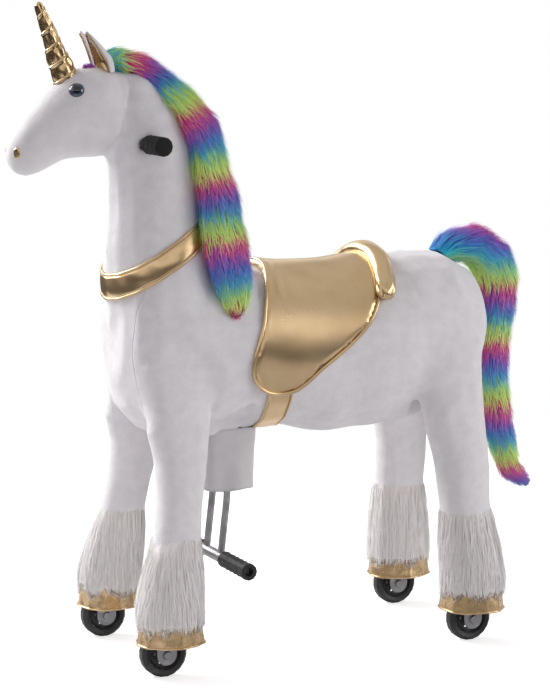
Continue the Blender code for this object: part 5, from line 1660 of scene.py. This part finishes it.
    def build_cantle(self) -> None:
        """Makes the stuffed roll behind the seat, gathered at both ends."""
        angles, radii, backs = (np.array(row) for row in zip(*self.roll_path))
        points = []
        for turn in np.linspace(-self.roll_degrees, self.roll_degrees, self.roll_rows):
            share = abs(turn) / self.roll_degrees
            close = max(0.05, math.sqrt(1 - share**16))
            gather = max(0.0, (share - self.roll_gather) / (1 - self.roll_gather)) ** 1.5
            reach = float(np.interp(abs(turn), angles, radii))
            back = float(np.interp(abs(turn), angles, backs))
            way = Vector((math.sin(math.radians(turn)), 0, math.cos(math.radians(turn))))
            for column in range(self.roll_columns):
                angle = math.tau * column / self.roll_columns
                swell = 1 + 0.02 * math.sin(0.31 * turn + 2 * angle)
                for depth, number, slant in self.roll_folds:
                    swell += depth * gather * math.sin(number * angle + slant * turn)
                swell *= close
                wide = self.roll_width * math.cos(angle) * swell
                high = self.roll_height * math.sin(angle) * swell
                points.append(Vector((0, back + wide, self.barrel_z)) + way * (reach + high))
        size = (self.roll_rows, self.roll_columns)
        roll = mesh_object("roll", points, grid_faces(*size, True) + end_faces(*size))
        finish_piece(roll, "cantle_roll", self.look, Body.CHASSIS, ("saddle_cantle",))


@dataclass
class Foot:
    """One lower leg: the foil hoof cup with its hem, and the long-haired cuff over it."""

    word: str
    foil: Material
    hair: Material
    seed: int
    cup_voxel: float = 0.0022
    pleats: tuple[Pair, Pair] = ((11, 0.0004), (5, 0.0014))
    pleat_top_z: float = 0.085
    pleat_fade: float = 0.03
    cup_inner: float = 0.034
    hem: float = 0.0016
    hem_lift: float = 0.0025
    hem_stand_off: float = 0.0004
    hem_steps: int = 64
    cuff_voxel: float = 0.004
    hem_rise: float = 0.015
    hem_rag: float = 0.004
    hem_share: float = 0.25
    shrink: Pair = (0.0030, 0.0026)
    core_tip: float = 0.35
    strands: int = 5200
    hair_length: float = 0.062
    hair_spread: float = 0.04
    hair_end_z: Pair = (0.059, 0.083)
    inner_reach: Pair = (0.030, 0.022)
    bare_foot: float = 0.028

    @property
    def body(self) -> Body:
        """The legs that this foot moves with."""
        return Body.FRONT_LEGS if self.word.startswith("front") else Body.REAR_LEGS

    def build(self) -> None:
        """Makes the cup, the hem, the sleeve and its hair."""
        self.build_cup()
        self.build_cuff()

    def build_cup(self) -> None:
        """Smooths the hoof cup and pipes its lower edge."""
        node = self.word + "_hoof"
        cup = node_copy((node,))
        remake(cup, self.cup_voxel, 10)
        points = points_of(cup)
        middle = (points.min(0) + points.max(0)) / 2
        x, y, z = points.T
        angle = np.arctan2(y - middle[1], x - middle[0])
        low = np.clip((self.pleat_top_z - z) / self.pleat_fade, 0, 1)
        pleat = sum(np.sin(angle * n + k * self.seed) * depth for k, (n, depth) in enumerate(self.pleats, 1))
        radial = np.stack((np.cos(angle), np.sin(angle), np.zeros_like(angle)), axis=1)
        outer = np.hypot(x - middle[0], y - middle[1]) > self.cup_inner
        push(cup, radial, pleat * low * outer)
        finish_piece(cup, node + "_cup", self.foil, self.body, (node,), recalculate=False)
        tree = tree_of(cup)
        centre = Vector((middle[0], middle[1], z.min() + self.hem_lift))
        path = []
        for step in range(self.hem_steps):
            way = ring_way(math.tau * step / self.hem_steps)
            hit, _, _, _ = tree.ray_cast(centre + way * 0.12, -way)
            if hit is not None:
                path.append(hit + way * self.hem_stand_off)
        cord = tube_along(node + "_hem", path, self.hem, True, 7)
        finish_piece(cord, node + "_hem", self.foil, self.body)

    def build_cuff(self) -> None:
        """Makes the sleeve of hair over the ankle."""
        node = self.word + "_fur_cuff"
        core = node_copy((node,))
        remake(core, self.cuff_voxel, 12)
        points = points_of(core)
        low, top = points[:, 2].min(), points[:, 2].max()
        centre = (points.min(0) + points.max(0)) / 2
        share = np.clip((points[:, 2] - low) / (top - low), 0, 1)
        ragged = self.hem_rag * waves(points * np.array((1, 1, 0)), 20 + self.seed, 0.03)
        rise = (self.hem_rise + ragged) * (1 - share / self.hem_share)
        points[:, 2] += np.where(share < self.hem_share, rise, 0)
        inward = points - centre
        inward[:, 2] = 0
        inward /= np.maximum(np.linalg.norm(inward, axis=1, keepdims=True), 1e-9)
        set_points(core, points - inward * (self.shrink[0] + self.shrink[1] * share**2)[:, None])
        store(core, "tip", np.full(len(points), self.core_tip))
        store(core, "dye", np.zeros(len(points)))
        x, y, _ = centre
        inner, narrow = self.inner_reach

        def flow(place: Vector) -> Vector:
            """The way the hair lies at a place: down, and a little outwards."""
            return Vector((place.x - x, place.y - y, 0)).normalized() * self.hair_spread - UP

        def outside(place: Vector) -> bool:
            """Whether a place is on the sleeve's outer face and above its foot.

            Args:
                place: The place.

            Returns:
                True where hair grows.
            """
            reach = (Vector((place.x, place.y, 0)) - Vector((x, y, 0))).length
            least = inner - (inner - narrow) * (place.z - low) / (top - low)
            return reach > least and place.z > low + self.bare_foot

        hair = Hair(self.strands, self.hair_length, 0.0012, 5, 0.0046, 0.07, self.seed)
        name = self.word + "_cuff_hair"
        strands = hair.grow(name, core, flow, outside, floor=lambda rng: rng.uniform(*self.hair_end_z))
        finish_piece(
            core, self.word + "_cuff_pile", self.hair, self.body, (node,), recalculate=False
        )
        finish_piece(strands, name, self.hair, self.body, recalculate=False)


# Mane and tail


@dataclass
class Plume:
    """A long tuft of dyed fur, the mane or the tail.

    Attributes:
        node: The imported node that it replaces.
        body: The body it rides on.
        look: Its material.
        route: Points down its middle, root to tip.
        edges: Where one run of colours ends and the next begins: travel down the route, or depth
            below the floor's level where the bands lie level.
        seed: The random seed.
        level_bands: Whether the bands lie level.
        tufts: Middles and radii of fuller places that join it.
        lead_share: How far down its strand a colour is meant for, as a share of the strand.
    """

    node: str
    body: Body
    look: Material
    route: tuple[Triple, ...]
    edges: tuple[float, ...]
    seed: int
    level_bands: bool = False
    tufts: tuple[tuple[Triple, Triple], ...] = ()
    lead_share: float = 0.4
    strands: int = 9000
    length: float = 0.042
    voxel: float = 0.004
    lump_height: float = 0.0022
    lump_sink: float = 0.0012
    lump_stretch: Triple = (1, 1, 0.4)

    def build(self) -> None:
        """Makes the core and its strands."""
        core = node_copy((self.node,))
        for middle, radii in self.tufts:
            join(core, [ball(radii, middle, 24, 14)])
        remake(core, self.voxel, 16)
        lumps = waves(points_of(core) * np.array(self.lump_stretch), self.seed, 0.03)
        push(core, normals_of(core), self.lump_height * lumps - self.lump_sink)
        points = [Vector(row) for row in points_of(core)]
        store(core, "dye", [self.dye(place) for place in points])
        store(core, "tip", np.zeros(len(points)))
        hair = Hair(self.strands, self.length, 0.0014, 6, 0.008, 0.10, self.seed)
        name = self.node + "_hair"
        strands = hair.grow(name, core, lambda place: self.nearest(place)[1], lambda place: True, self.dye)
        finish_piece(
            core, self.node + "_pile", self.look, self.body, (self.node,), recalculate=False
        )
        finish_piece(strands, name, self.look, self.body, recalculate=False)

    def nearest(self, place: Vector) -> tuple[float, Vector]:
        """Where on the route a place lies.

        Args:
            place: The place.

        Returns:
            How far down the route it is, and the route's direction there.
        """
        least = math.inf
        travel = 0.0
        result = (0.0, Vector())
        for start, end in zip(self.route, self.route[1:]):
            first = Vector(start)
            leg = Vector(end) - first
            t = min(1.0, max(0.0, (place - first).dot(leg) / leg.length_squared))
            gap = (place - first - leg * t).length
            if gap < least:
                least = gap
                result = (travel + leg.length * t, leg.normalized())
            travel += leg.length
        return result

    def dye(self, place: Vector) -> float:
        """The dye's number at a place.

        Args:
            place: The place.

        Returns:
            The number, which grows by 1 over each run of colours.
        """
        travel = (-place.z if self.level_bands else self.nearest(place)[0]) + self.length * self.lead_share
        return float(np.interp(travel, self.edges, range(len(self.edges))))


@dataclass
class Forelock:
    """A small purple tuft between the ears."""

    look: Material
    place: Triple = (0.006, -0.3040, 0.8585)
    size: Triple = (0.006, 0.008, 0.008)
    way: Triple = (0.1, -0.75, 0.35)
    dye: float = 0.22
    strands: int = 420
    length: float = 0.011
    bare_foot: float = 0.004

    def build(self) -> None:
        """Makes the tuft."""
        core = ball(self.size, self.place, 20, 12)
        count = len(core.data.vertices)
        store(core, "dye", np.full(count, self.dye))
        store(core, "tip", np.zeros(count))
        hair = Hair(self.strands, self.length, 0.0012, 5, 0.005, 0.25, 9)
        way = Vector(self.way).normalized()
        foot = self.place[2] - self.bare_foot
        strands = hair.grow(
            "forelock_hair", core, lambda place: way, lambda place: place.z > foot, lambda place: self.dye
        )
        for piece, name in ((core, "forelock_pile"), (strands, "forelock_hair")):
            finish_piece(piece, name, self.look, Body.FRONT_FORK, recalculate=False)


# Head fittings


@dataclass
class Horn:
    """A foil cone wound in a rising spiral, with gathers in each turn."""

    look: Material
    foot: Triple = (0, -0.3358, 0.8394)
    lean_degrees: float = 20.5
    length: float = 0.1245
    foot_radius: float = 0.0222
    tip_radius: float = 0.0056
    turns: float = 5.6
    hollow: Pair = (0.86, 0.10)
    ridge_share: float = 0.13
    ridge_back: float = 0.03
    ridge_height: float = 0.0026
    ridge_taper: float = 0.4
    pleat_depth: float = 0.0010
    pleat_taper: float = 0.5
    cap_share: float = 0.985
    cap_size: float = 0.7
    sides: int = 84
    levels: int = 150
    sink: float = 0.008

    def build(self) -> None:
        """Shapes the horn from a cylinder of loops."""
        deselect()
        bpy.ops.mesh.primitive_cylinder_add(
            vertices=self.sides, radius=1.0, depth=1.0, end_fill_type="TRIFAN", location=(0, 0, 0.5)
        )
        horn = bpy.context.object
        bpy.ops.object.transform_apply(location=True, rotation=True, scale=True)
        with editing(horn) as bm:
            walls = [edge for edge in bm.edges if abs(edge.verts[0].co.z - edge.verts[1].co.z) > 0.5]
            bmesh.ops.subdivide_edges(bm, edges=walls, cuts=self.levels, use_grid_fill=True)
        lean = math.radians(self.lean_degrees)
        axis = Vector((0, -math.sin(lean), math.cos(lean)))
        out = axis.cross(ACROSS)
        x, y, share = points_of(horn).T
        angle = np.arctan2(y, x)
        winding = share * self.turns - angle / math.tau
        phase = winding % 1.0
        turn = np.floor(winding)
        belly = np.sin(math.pi * phase)
        ridge = np.exp(-(((1 - phase) / self.ridge_share) ** 2)) + np.exp(-((phase / self.ridge_back) ** 2))
        pleat = np.sin(angle * 5 + 2.4 * turn) + 0.7 * np.sin(angle * 8 - 1.7 * turn + 2.5 * phase)
        radius = self.foot_radius + (self.tip_radius - self.foot_radius) * share
        radius = radius * (self.hollow[0] + self.hollow[1] * belly)
        radius += self.ridge_height * ridge * (1 - self.ridge_taper * share)
        radius += self.pleat_depth * pleat * belly.clip(0) ** 0.6 * (1 - self.pleat_taper * share)
        radius *= np.where(share > self.cap_share, self.cap_size, 1.0)
        along = share * (self.length + self.sink) - self.sink
        base = np.array(self.foot) + np.outer(along, np.array(axis))
        spread = np.outer(np.cos(angle), np.array(ACROSS)) + np.outer(np.sin(angle), np.array(out))
        set_points(horn, base + spread * (radius * np.hypot(x, y))[:, None])
        finish_piece(horn, "spiral_horn", self.look, Body.FRONT_FORK, ("horn",))


@dataclass
class Ear:
    """A folded plush leaf lined with foil."""

    side: int
    plush: Material
    foil: Material
    foot: Triple = (0.0235, -0.2865, 0.8540)
    up: Triple = (-0.20, -0.30, 0.93)
    front: Triple = (-0.30, 0.90, 0.33)
    length: float = 0.067
    width: float = 0.033
    least_half_width: float = 0.0006
    droop: float = 0.10
    wall: float = 0.0034
    lining_wall: float = 0.0008
    lining_inset: float = 0.09
    lining_gap: float = 0.0004
    pleat_depth: float = 0.0016
    pleats: float = 2.5
    columns: int = 17
    rows: int = 22

    def axes(self) -> tuple[Vector, Vector, Vector]:
        """The ear's own directions.

        Returns:
            Up, across and back.
        """
        up = mirrored(self.up, self.side).normalized()
        across = up.cross(mirrored(self.front, self.side)).normalized()
        return up, across, across.cross(up)

    def leaf(self, inset: float, forward: float) -> Object:
        """The folded leaf as one layer.

        Args:
            inset: How much narrower and shorter it is, as a share.
            forward: How far it lies in front of the ear's middle layer.

        Returns:
            The layer.
        """
        up, across, back = self.axes()
        foot = mirrored(self.foot, self.side)
        points = []
        for row in range(self.rows):
            share = row / (self.rows - 1)
            rise = inset * 0.6 + share * (1 - inset * 1.1)
            wide = 1.22 * (1 - rise) ** 0.85 * (0.55 + 0.45 * min(1, rise / 0.3))
            half = max(self.least_half_width, self.width / 2 * wide * (1 - inset))
            centre = foot + up * (self.length * rise) - back * (self.length * self.droop * rise**2)
            for column in range(self.columns):
                angle = math.pi * column / (self.columns - 1)
                bow = half * 1.05 * math.sin(angle)
                points.append(centre + across * (half * math.cos(angle)) + back * (bow - forward))
        return mesh_object("leaf", points, grid_faces(self.rows, self.columns, False))

    def build(self) -> None:
        """Makes the plush leaf and its foil lining."""
        word = "ear_" + SIDE_WORDS[self.side]
        shell = self.leaf(0.0, 0.0)
        apply_modifier(shell, "SOLIDIFY", thickness=self.wall, offset=0.0)
        apply_modifier(shell, "SUBSURF", levels=1, render_levels=1)
        finish_piece(shell, word + "_leaf", self.plush, Body.FRONT_FORK, (word,))
        lining = self.leaf(self.lining_inset, self.wall / 2 + self.lining_gap)
        column = np.tile(np.linspace(-1, 1, self.columns), self.rows)
        pleat = np.cos(column * math.pi * self.pleats) * self.pleat_depth * (1 - np.abs(column) ** 4)
        push(lining, -np.array(self.axes()[2]), pleat)
        apply_modifier(lining, "SOLIDIFY", thickness=self.lining_wall, offset=0.0)
        finish_piece(lining, word + "_lining", self.foil, Body.FRONT_FORK)


@dataclass
class Face:
    """The glass eyes and the embroidered nostrils."""

    skin: Skin
    foil: Material
    eye_place: Triple = (0.0346, -0.3354, 0.8334)
    eye_way: Triple = (0.95, -0.22, 0.16)
    eye_radius: float = 0.0118
    eye_sink: float = 0.42
    nostril_place: Triple = (0.0200, -0.4175, 0.7470)
    nostril_way: Triple = (0.62, -0.78, 0.05)
    nostril_size: Triple = (0.0050, 0.0082, 0.0013)
    stitches: int = 12

    def build(self) -> None:
        """Makes both eyes and both nostrils."""
        for side in (LEFT, RIGHT):
            self.build_eye(side)
            self.build_nostril(side)

    def build_eye(self, side: int) -> None:
        """Sets one eye in the skin.

        Args:
            side: Which eye.
        """
        word = SIDE_WORDS[side]
        out = mirrored(self.eye_way, side).normalized()
        place, normal = self.skin.surface_at(mirrored(self.eye_place, side), out, 0.1)
        axis = (normal + out).normalized()
        centre = place - axis * (self.eye_radius * self.eye_sink)
        eye = ball((self.eye_radius,) * 3, centre, 40, 24)
        name = "glass_eye_" + word
        look = EyeFinish(name, centre, axis).material()
        finish_piece(eye, name, look, Body.FRONT_FORK, ("eye_" + word,))

    def build_nostril(self, side: int) -> None:
        """Sews one nostril patch on the muzzle.

        Args:
            side: Which nostril.
        """
        out = mirrored(self.nostril_way, side).normalized()
        place, normal = self.skin.surface_at(mirrored(self.nostril_place, side), out, 0.1)
        turn = normal.to_track_quat("Z", "Y").to_matrix().to_4x4()
        patch = ball((1, 1, 1), (0, 0, 0), 28, 16)
        points = points_of(patch)
        angle = np.arctan2(points[:, 1], points[:, 0])
        reach = np.hypot(points[:, 0], points[:, 1])
        raised = 0.8 * np.exp(-(((reach - 0.75) / 0.18) ** 2)) + 0.2 * np.sin(angle * self.stitches)
        points[:, 2] *= 1 + raised
        set_points(patch, points * np.array(self.nostril_size))
        patch.data.transform(Matrix.Translation(place) @ turn)
        finish_piece(patch, "nostril_" + SIDE_WORDS[side], self.foil, Body.FRONT_FORK)


# Skirt


@dataclass
class Skirt:
    """The cloth tube that hides where the pedal bars enter the belly."""

    look: Material
    top: float = 0.335
    wall: float = 0.0016
    fullness: float = 1.04
    squareness: int = 6
    hem_height: float = 0.010
    hem: float = 0.0007
    rows: int = 22
    columns: int = 96
    fold_depth: float = 0.0034
    folds: tuple[Triple, Triple] = ((5, 0.8, 1.0), (3, 2.0, 0.5))
    edge_wave: float = 0.0012

    def build(self) -> None:
        """Hangs the cloth."""
        low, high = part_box("belly_skirt")
        middle = (low + high) / 2
        half_x = (high.x - low.x) / 2 - self.fold_depth
        half_y = (high.y - low.y) / 2 - self.fold_depth
        points = []
        for row in range(self.rows):
            share = row / (self.rows - 1)
            z = self.top + (low.z - self.top) * share
            hem = self.hem if z < low.z + self.hem_height else 0.0
            for column in range(self.columns):
                angle = math.tau * column / self.columns
                cos, sin = math.cos(angle), math.sin(angle)
                flat = (abs(cos) ** self.squareness + abs(sin) ** self.squareness) ** (-1 / self.squareness)
                out = hem
                for count, phase, size in self.folds:
                    out += math.sin(angle * count + phase) * self.fold_depth * size * share
                x = middle.x + cos * (flat * half_x + out)
                y = middle.y + sin * (flat * half_y + out)
                points.append(Vector((x, y, z + self.edge_wave * math.sin(angle * 4) * share)))
        skirt = mesh_object("skirt", points, grid_faces(self.rows, self.columns, True))
        apply_modifier(skirt, "SOLIDIFY", thickness=self.wall, offset=-1.0)
        finish_piece(skirt, "hanging_skirt", self.look, Body.CHASSIS, ("belly_skirt",))


# Metal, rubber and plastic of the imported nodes


@dataclass
class Hardware:
    """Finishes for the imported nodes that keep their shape, each by words that the nodes' names contain."""

    finishes: tuple[tuple[tuple[str, ...], "MetalFinish | RubberFinish"], ...]

    def build(self) -> None:
        """Gives each kept node its finish."""
        for words, finish in self.finishes:
            look = finish.material()
            for name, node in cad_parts.items():
                if any(word in name for word in words):
                    for slot in node.material_slots:
                        slot.material = look


# Studio


@dataclass
class Studio:
    """Camera, floor, backdrop and soft lights."""

    azimuth: float = 65.735
    elevation: float = 8.359
    distance: float = 3.7248
    target: Triple = (0.0, -0.0144, 0.4487)
    focal_pixels: float = 2500.0
    frame_height: int = 690
    sensor: float = 36.0
    floor_size: float = 3.0
    floor_color: Triple = (0.76, 0.755, 0.76)
    floor_glow: Triple = (1.0, 0.995, 0.99)
    floor_seen: float = 0.63
    floor_reflected: float = 0.08
    ambient_color: Triple = (1.0, 0.97, 1.0)
    ambient_strength: float = 0.40
    room: tuple[tuple[float, Triple], ...] = (
        (0.0, (0.04, 0.03, 0.025)),
        (0.05, (0.07, 0.055, 0.045)),
        (0.12, (0.28, 0.26, 0.24)),
        (0.24, (1.35, 1.28, 1.20)),
        (0.36, (1.10, 1.06, 1.00)),
        (0.56, (0.56, 0.54, 0.51)),
        (1.0, (0.72, 0.70, 0.68)),
    )
    dim_side: Triple = (0.66, 0.64, 0.62)
    dim_span: Pair = (0.86, 0.50)
    lights: tuple[tuple[str, Triple, float, float], ...] = (
        ("key", (-2.5, -1.7, 2.3), 2.0, 140.0),
        ("front", (-0.6, -3.0, 2.2), 2.2, 10.0),
        ("fill", (2.0, 2.8, 1.3), 1.8, 40.0),
    )

    def build(self) -> None:
        """Sets up everything round the toy."""
        self.place_camera()
        self.lay_floor()
        self.light_world()
        for light in self.lights:
            self.add_light(*light)
        bpy.context.scene.view_settings.view_transform = "Standard"

    def place_camera(self) -> None:
        """Stands the camera where the photograph was taken from."""
        turn = math.radians(self.azimuth)
        rise = math.radians(self.elevation)
        back = Vector((math.sin(turn) * math.cos(rise), -math.cos(turn) * math.cos(rise), math.sin(rise)))
        right = ring_way(turn)
        camera = object_of("camera", bpy.data.cameras.new("camera"))
        rotation = Matrix((right, back.cross(right), back)).transposed().to_4x4()
        camera.matrix_world = Matrix.Translation(Vector(self.target) + back * self.distance) @ rotation
        camera.data.sensor_fit = "VERTICAL"
        camera.data.sensor_height = self.sensor
        camera.data.lens = self.focal_pixels / self.frame_height * self.sensor
        camera.data.clip_end = 100.0
        bpy.context.scene.camera = camera

    def lay_floor(self) -> None:
        """Lays a pale floor that keeps the toy's shadow."""
        deselect()
        bpy.ops.mesh.primitive_plane_add(size=self.floor_size, location=(0, 0, 0))
        floor = bpy.context.object
        floor.name = "floor"
        graph = Graph.of_material("pale_floor")
        path = graph.node("ShaderNodeLightPath", {}, {})
        seen = (path["Is Camera Ray"] + path["Is Transmission Ray"]) * self.floor_seen
        seen = seen + path["Is Glossy Ray"] * self.floor_reflected
        diffuse = graph.node("ShaderNodeBsdfDiffuse", {}, {"Color": (*self.floor_color, 1.0)})["BSDF"]
        glow = graph.node("ShaderNodeEmission", {}, {"Color": (*self.floor_glow, 1.0), "Strength": seen})
        total = graph.node("ShaderNodeAddShader", {}, {0: diffuse, 1: glow["Emission"]})["Shader"]
        graph.node("ShaderNodeOutputMaterial", {}, {"Surface": total})
        floor.data.materials.append(graph.owner)

    def light_world(self) -> None:
        """A white backdrop for the camera, and dimmer soft light from all round for the toy."""
        world = bpy.data.worlds.new("studio")
        bpy.context.scene.world = world
        graph = Graph(world)
        path = graph.node("ShaderNodeLightPath", {}, {})
        way = graph.node("ShaderNodeTexCoord", {}, {})["Generated"]
        _, _, height = graph.parts(way)
        ceiling = graph.node("ShaderNodeValToRGB", {"stops": self.room}, {"Fac": height})["Color"]
        right = tuple(ring_way(math.radians(self.azimuth)))
        toward = graph.vector_maths("DOT_PRODUCT", way, right)["Value"].ramp(*self.dim_span)
        dim = graph.mixed(1.0, ceiling, self.dim_side, "MULTIPLY")
        seen, gloss, white = (
            graph.node("ShaderNodeBackground", {}, inputs)["Background"]
            for inputs in (
                {"Color": (*self.ambient_color, 1.0), "Strength": self.ambient_strength},
                {"Color": graph.mixed(toward, dim, ceiling)},
                {"Color": (1.0, 1.0, 1.0, 1.0)},
            )
        )
        rays = ("Is Glossy Ray", "Is Transmission Ray", "Is Camera Ray")
        for ray, shown in zip(rays, (gloss, white, white)):
            seen = graph.node("ShaderNodeMixShader", {}, {0: path[ray], 1: seen, 2: shown})["Shader"]
        graph.node("ShaderNodeOutputWorld", {}, {"Surface": seen})

    def add_light(self, name: str, place: Triple, size: float, power: float) -> None:
        """Adds a square soft light aimed at the toy.

        Args:
            name: Its name.
            place: Where it stands.
            size: Its side.
            power: Its power in watts.
        """
        light = bpy.data.lights.new(name, "AREA")
        light.shape = "SQUARE"
        light.size = size
        light.energy = power
        turn = (Vector(self.target) - Vector(place)).to_track_quat("-Z", "Y").to_matrix().to_4x4()
        object_of(name, light).matrix_world = Matrix.Translation(Vector(place)) @ turn


# Tables and the build


BREAST_TILT_DEGREES = 33
MANE_TUFTS = (
    ((0.0, -0.264, 0.872), (0.013, 0.024, 0.018)),
    ((0.028, -0.220, 0.846), (0.013, 0.030, 0.019)),
)
MANE_ROUTE = (
    (0.0000, -0.3000, 0.8680),
    (0.0000, -0.2770, 0.8704),
    (0.0033, -0.2610, 0.8763),
    (0.0098, -0.2344, 0.8653),
    (0.0238, -0.2036, 0.8427),
    (0.0402, -0.1784, 0.8142),
    (0.0517, -0.1554, 0.7792),
    (0.0582, -0.1450, 0.7379),
    (0.0648, -0.1370, 0.6963),
    (0.0730, -0.1325, 0.6525),
    (0.0820, -0.1282, 0.6043),
    (0.0869, -0.1242, 0.5726),
    (0.0910, -0.1210, 0.5401),
    (0.0927, -0.1196, 0.5149),
)
MANE_EDGES = (0.000, 0.057, 0.167, 0.266, 0.358, 0.460, 0.68)
TAIL_ROUTE = (
    (0.0, 0.2497, 0.5670),
    (0.0, 0.2760, 0.5832),
    (0.0, 0.3159, 0.5867),
    (0.0, 0.3484, 0.5640),
    (0.0, 0.3600, 0.5278),
    (0.0, 0.3589, 0.4808),
    (0.0, 0.3505, 0.4300),
    (0.0, 0.3516, 0.3873),
    (0.0, 0.3589, 0.3449),
    (0.0, 0.3642, 0.3029),
    (0.0, 0.3778, 0.2590),
    (0.0, 0.3925, 0.2259),
    (0.0, 0.4146, 0.2090),
)
TAIL_EDGES = (-0.700, -0.600, -0.528, -0.441, -0.340, -0.244, -0.150)


DARK_STEEL = MetalFinish("dark_steel", (0.06, 0.06, 0.065), (0.10, 0.10, 0.11), 0.6, 0.38)
PLATED_STEEL = MetalFinish("plated_steel", (0.30, 0.30, 0.32), (0.42, 0.42, 0.44))
HUB_PLASTIC = RubberFinish("hub_plastic", (0.05, 0.05, 0.055), (0.10, 0.10, 0.10), 0.35, 300.0, 0.0001)
TYRE_RUBBER = RubberFinish("tyre_rubber", (0.007, 0.007, 0.008), (0.025, 0.024, 0.024), 0.36)
HANDLE_FOAM = RubberFinish("handle_foam", (0.007, 0.007, 0.008), (0.020, 0.020, 0.021), 0.8, 1400.0, 0.0006)
SLEEVE_RUBBER = RubberFinish("sleeve_rubber", (0.008, 0.008, 0.009), (0.026, 0.025, 0.025), 0.45)
CRINKLED_FOIL = FoilFinish("crinkled_foil", (0.66, 0.48, 0.28), (0.46, 0.32, 0.17), 0.27, 38.0, 0.0010)
HARDWARE = (
    (("_leg_tube", "main_beam", "steering_column", "handlebar"), DARK_STEEL),
    (("_wheel_fork", "_axle", "_shaft", "pedal_frame", "connecting_rod", "hip_spring"), PLATED_STEEL),
    (("_hub",), HUB_PLASTIC),
    (("_tyre",), TYRE_RUBBER),
    (("handle_grip",), HANDLE_FOAM),
    (("pedal_grip",), SLEEVE_RUBBER),
)


def main() -> None:
    """Builds every sub-assembly in order and reports each piece."""
    logging.basicConfig(level=logging.INFO, format="%(message)s")
    plush = PlushFinish().material()
    white_hair = FurFinish().material()
    dyed = DyedFurFinish().material()
    foil = FoilFinish().material()
    crinkled = CRINKLED_FOIL.material()

    Studio().build()
    skin = Skin(plush)
    skin.build()
    tilt = math.radians(BREAST_TILT_DEGREES)
    breast_rear = Vector((0, math.cos(tilt), math.sin(tilt)))
    Band(
        skin, foil, "breast_band", Vector((0, -0.225, 0.586)), breast_rear, 0.029,
        "breast_strap", Body.FRONT_FORK,
    ).build()
    Band(
        skin, foil, "girth_band", Vector((0, -0.048, 0.45)), UP, 0.038,
        "girth_strap", Body.CHASSIS, start_degrees=-170, end_degrees=-10, piping=0.0012,
    ).build()
    Saddle(foil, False).build()
    for seed, word in enumerate(skin.legs, 1):
        Foot(word, crinkled, white_hair, seed).build()
    Plume("mane", Body.FRONT_FORK, dyed, MANE_ROUTE, MANE_EDGES, 5, tufts=MANE_TUFTS).build()
    Plume("tail", Body.CHASSIS, dyed, TAIL_ROUTE, TAIL_EDGES, 6, level_bands=True).build()
    Forelock(dyed).build()
    Horn(crinkled).build()
    for side in (LEFT, RIGHT):
        Ear(side, plush, crinkled).build()
    Face(skin, crinkled).build()
    Skirt(ClothFinish().material()).build()
    Hardware(HARDWARE).build()


if __name__ == "__main__":
    main()
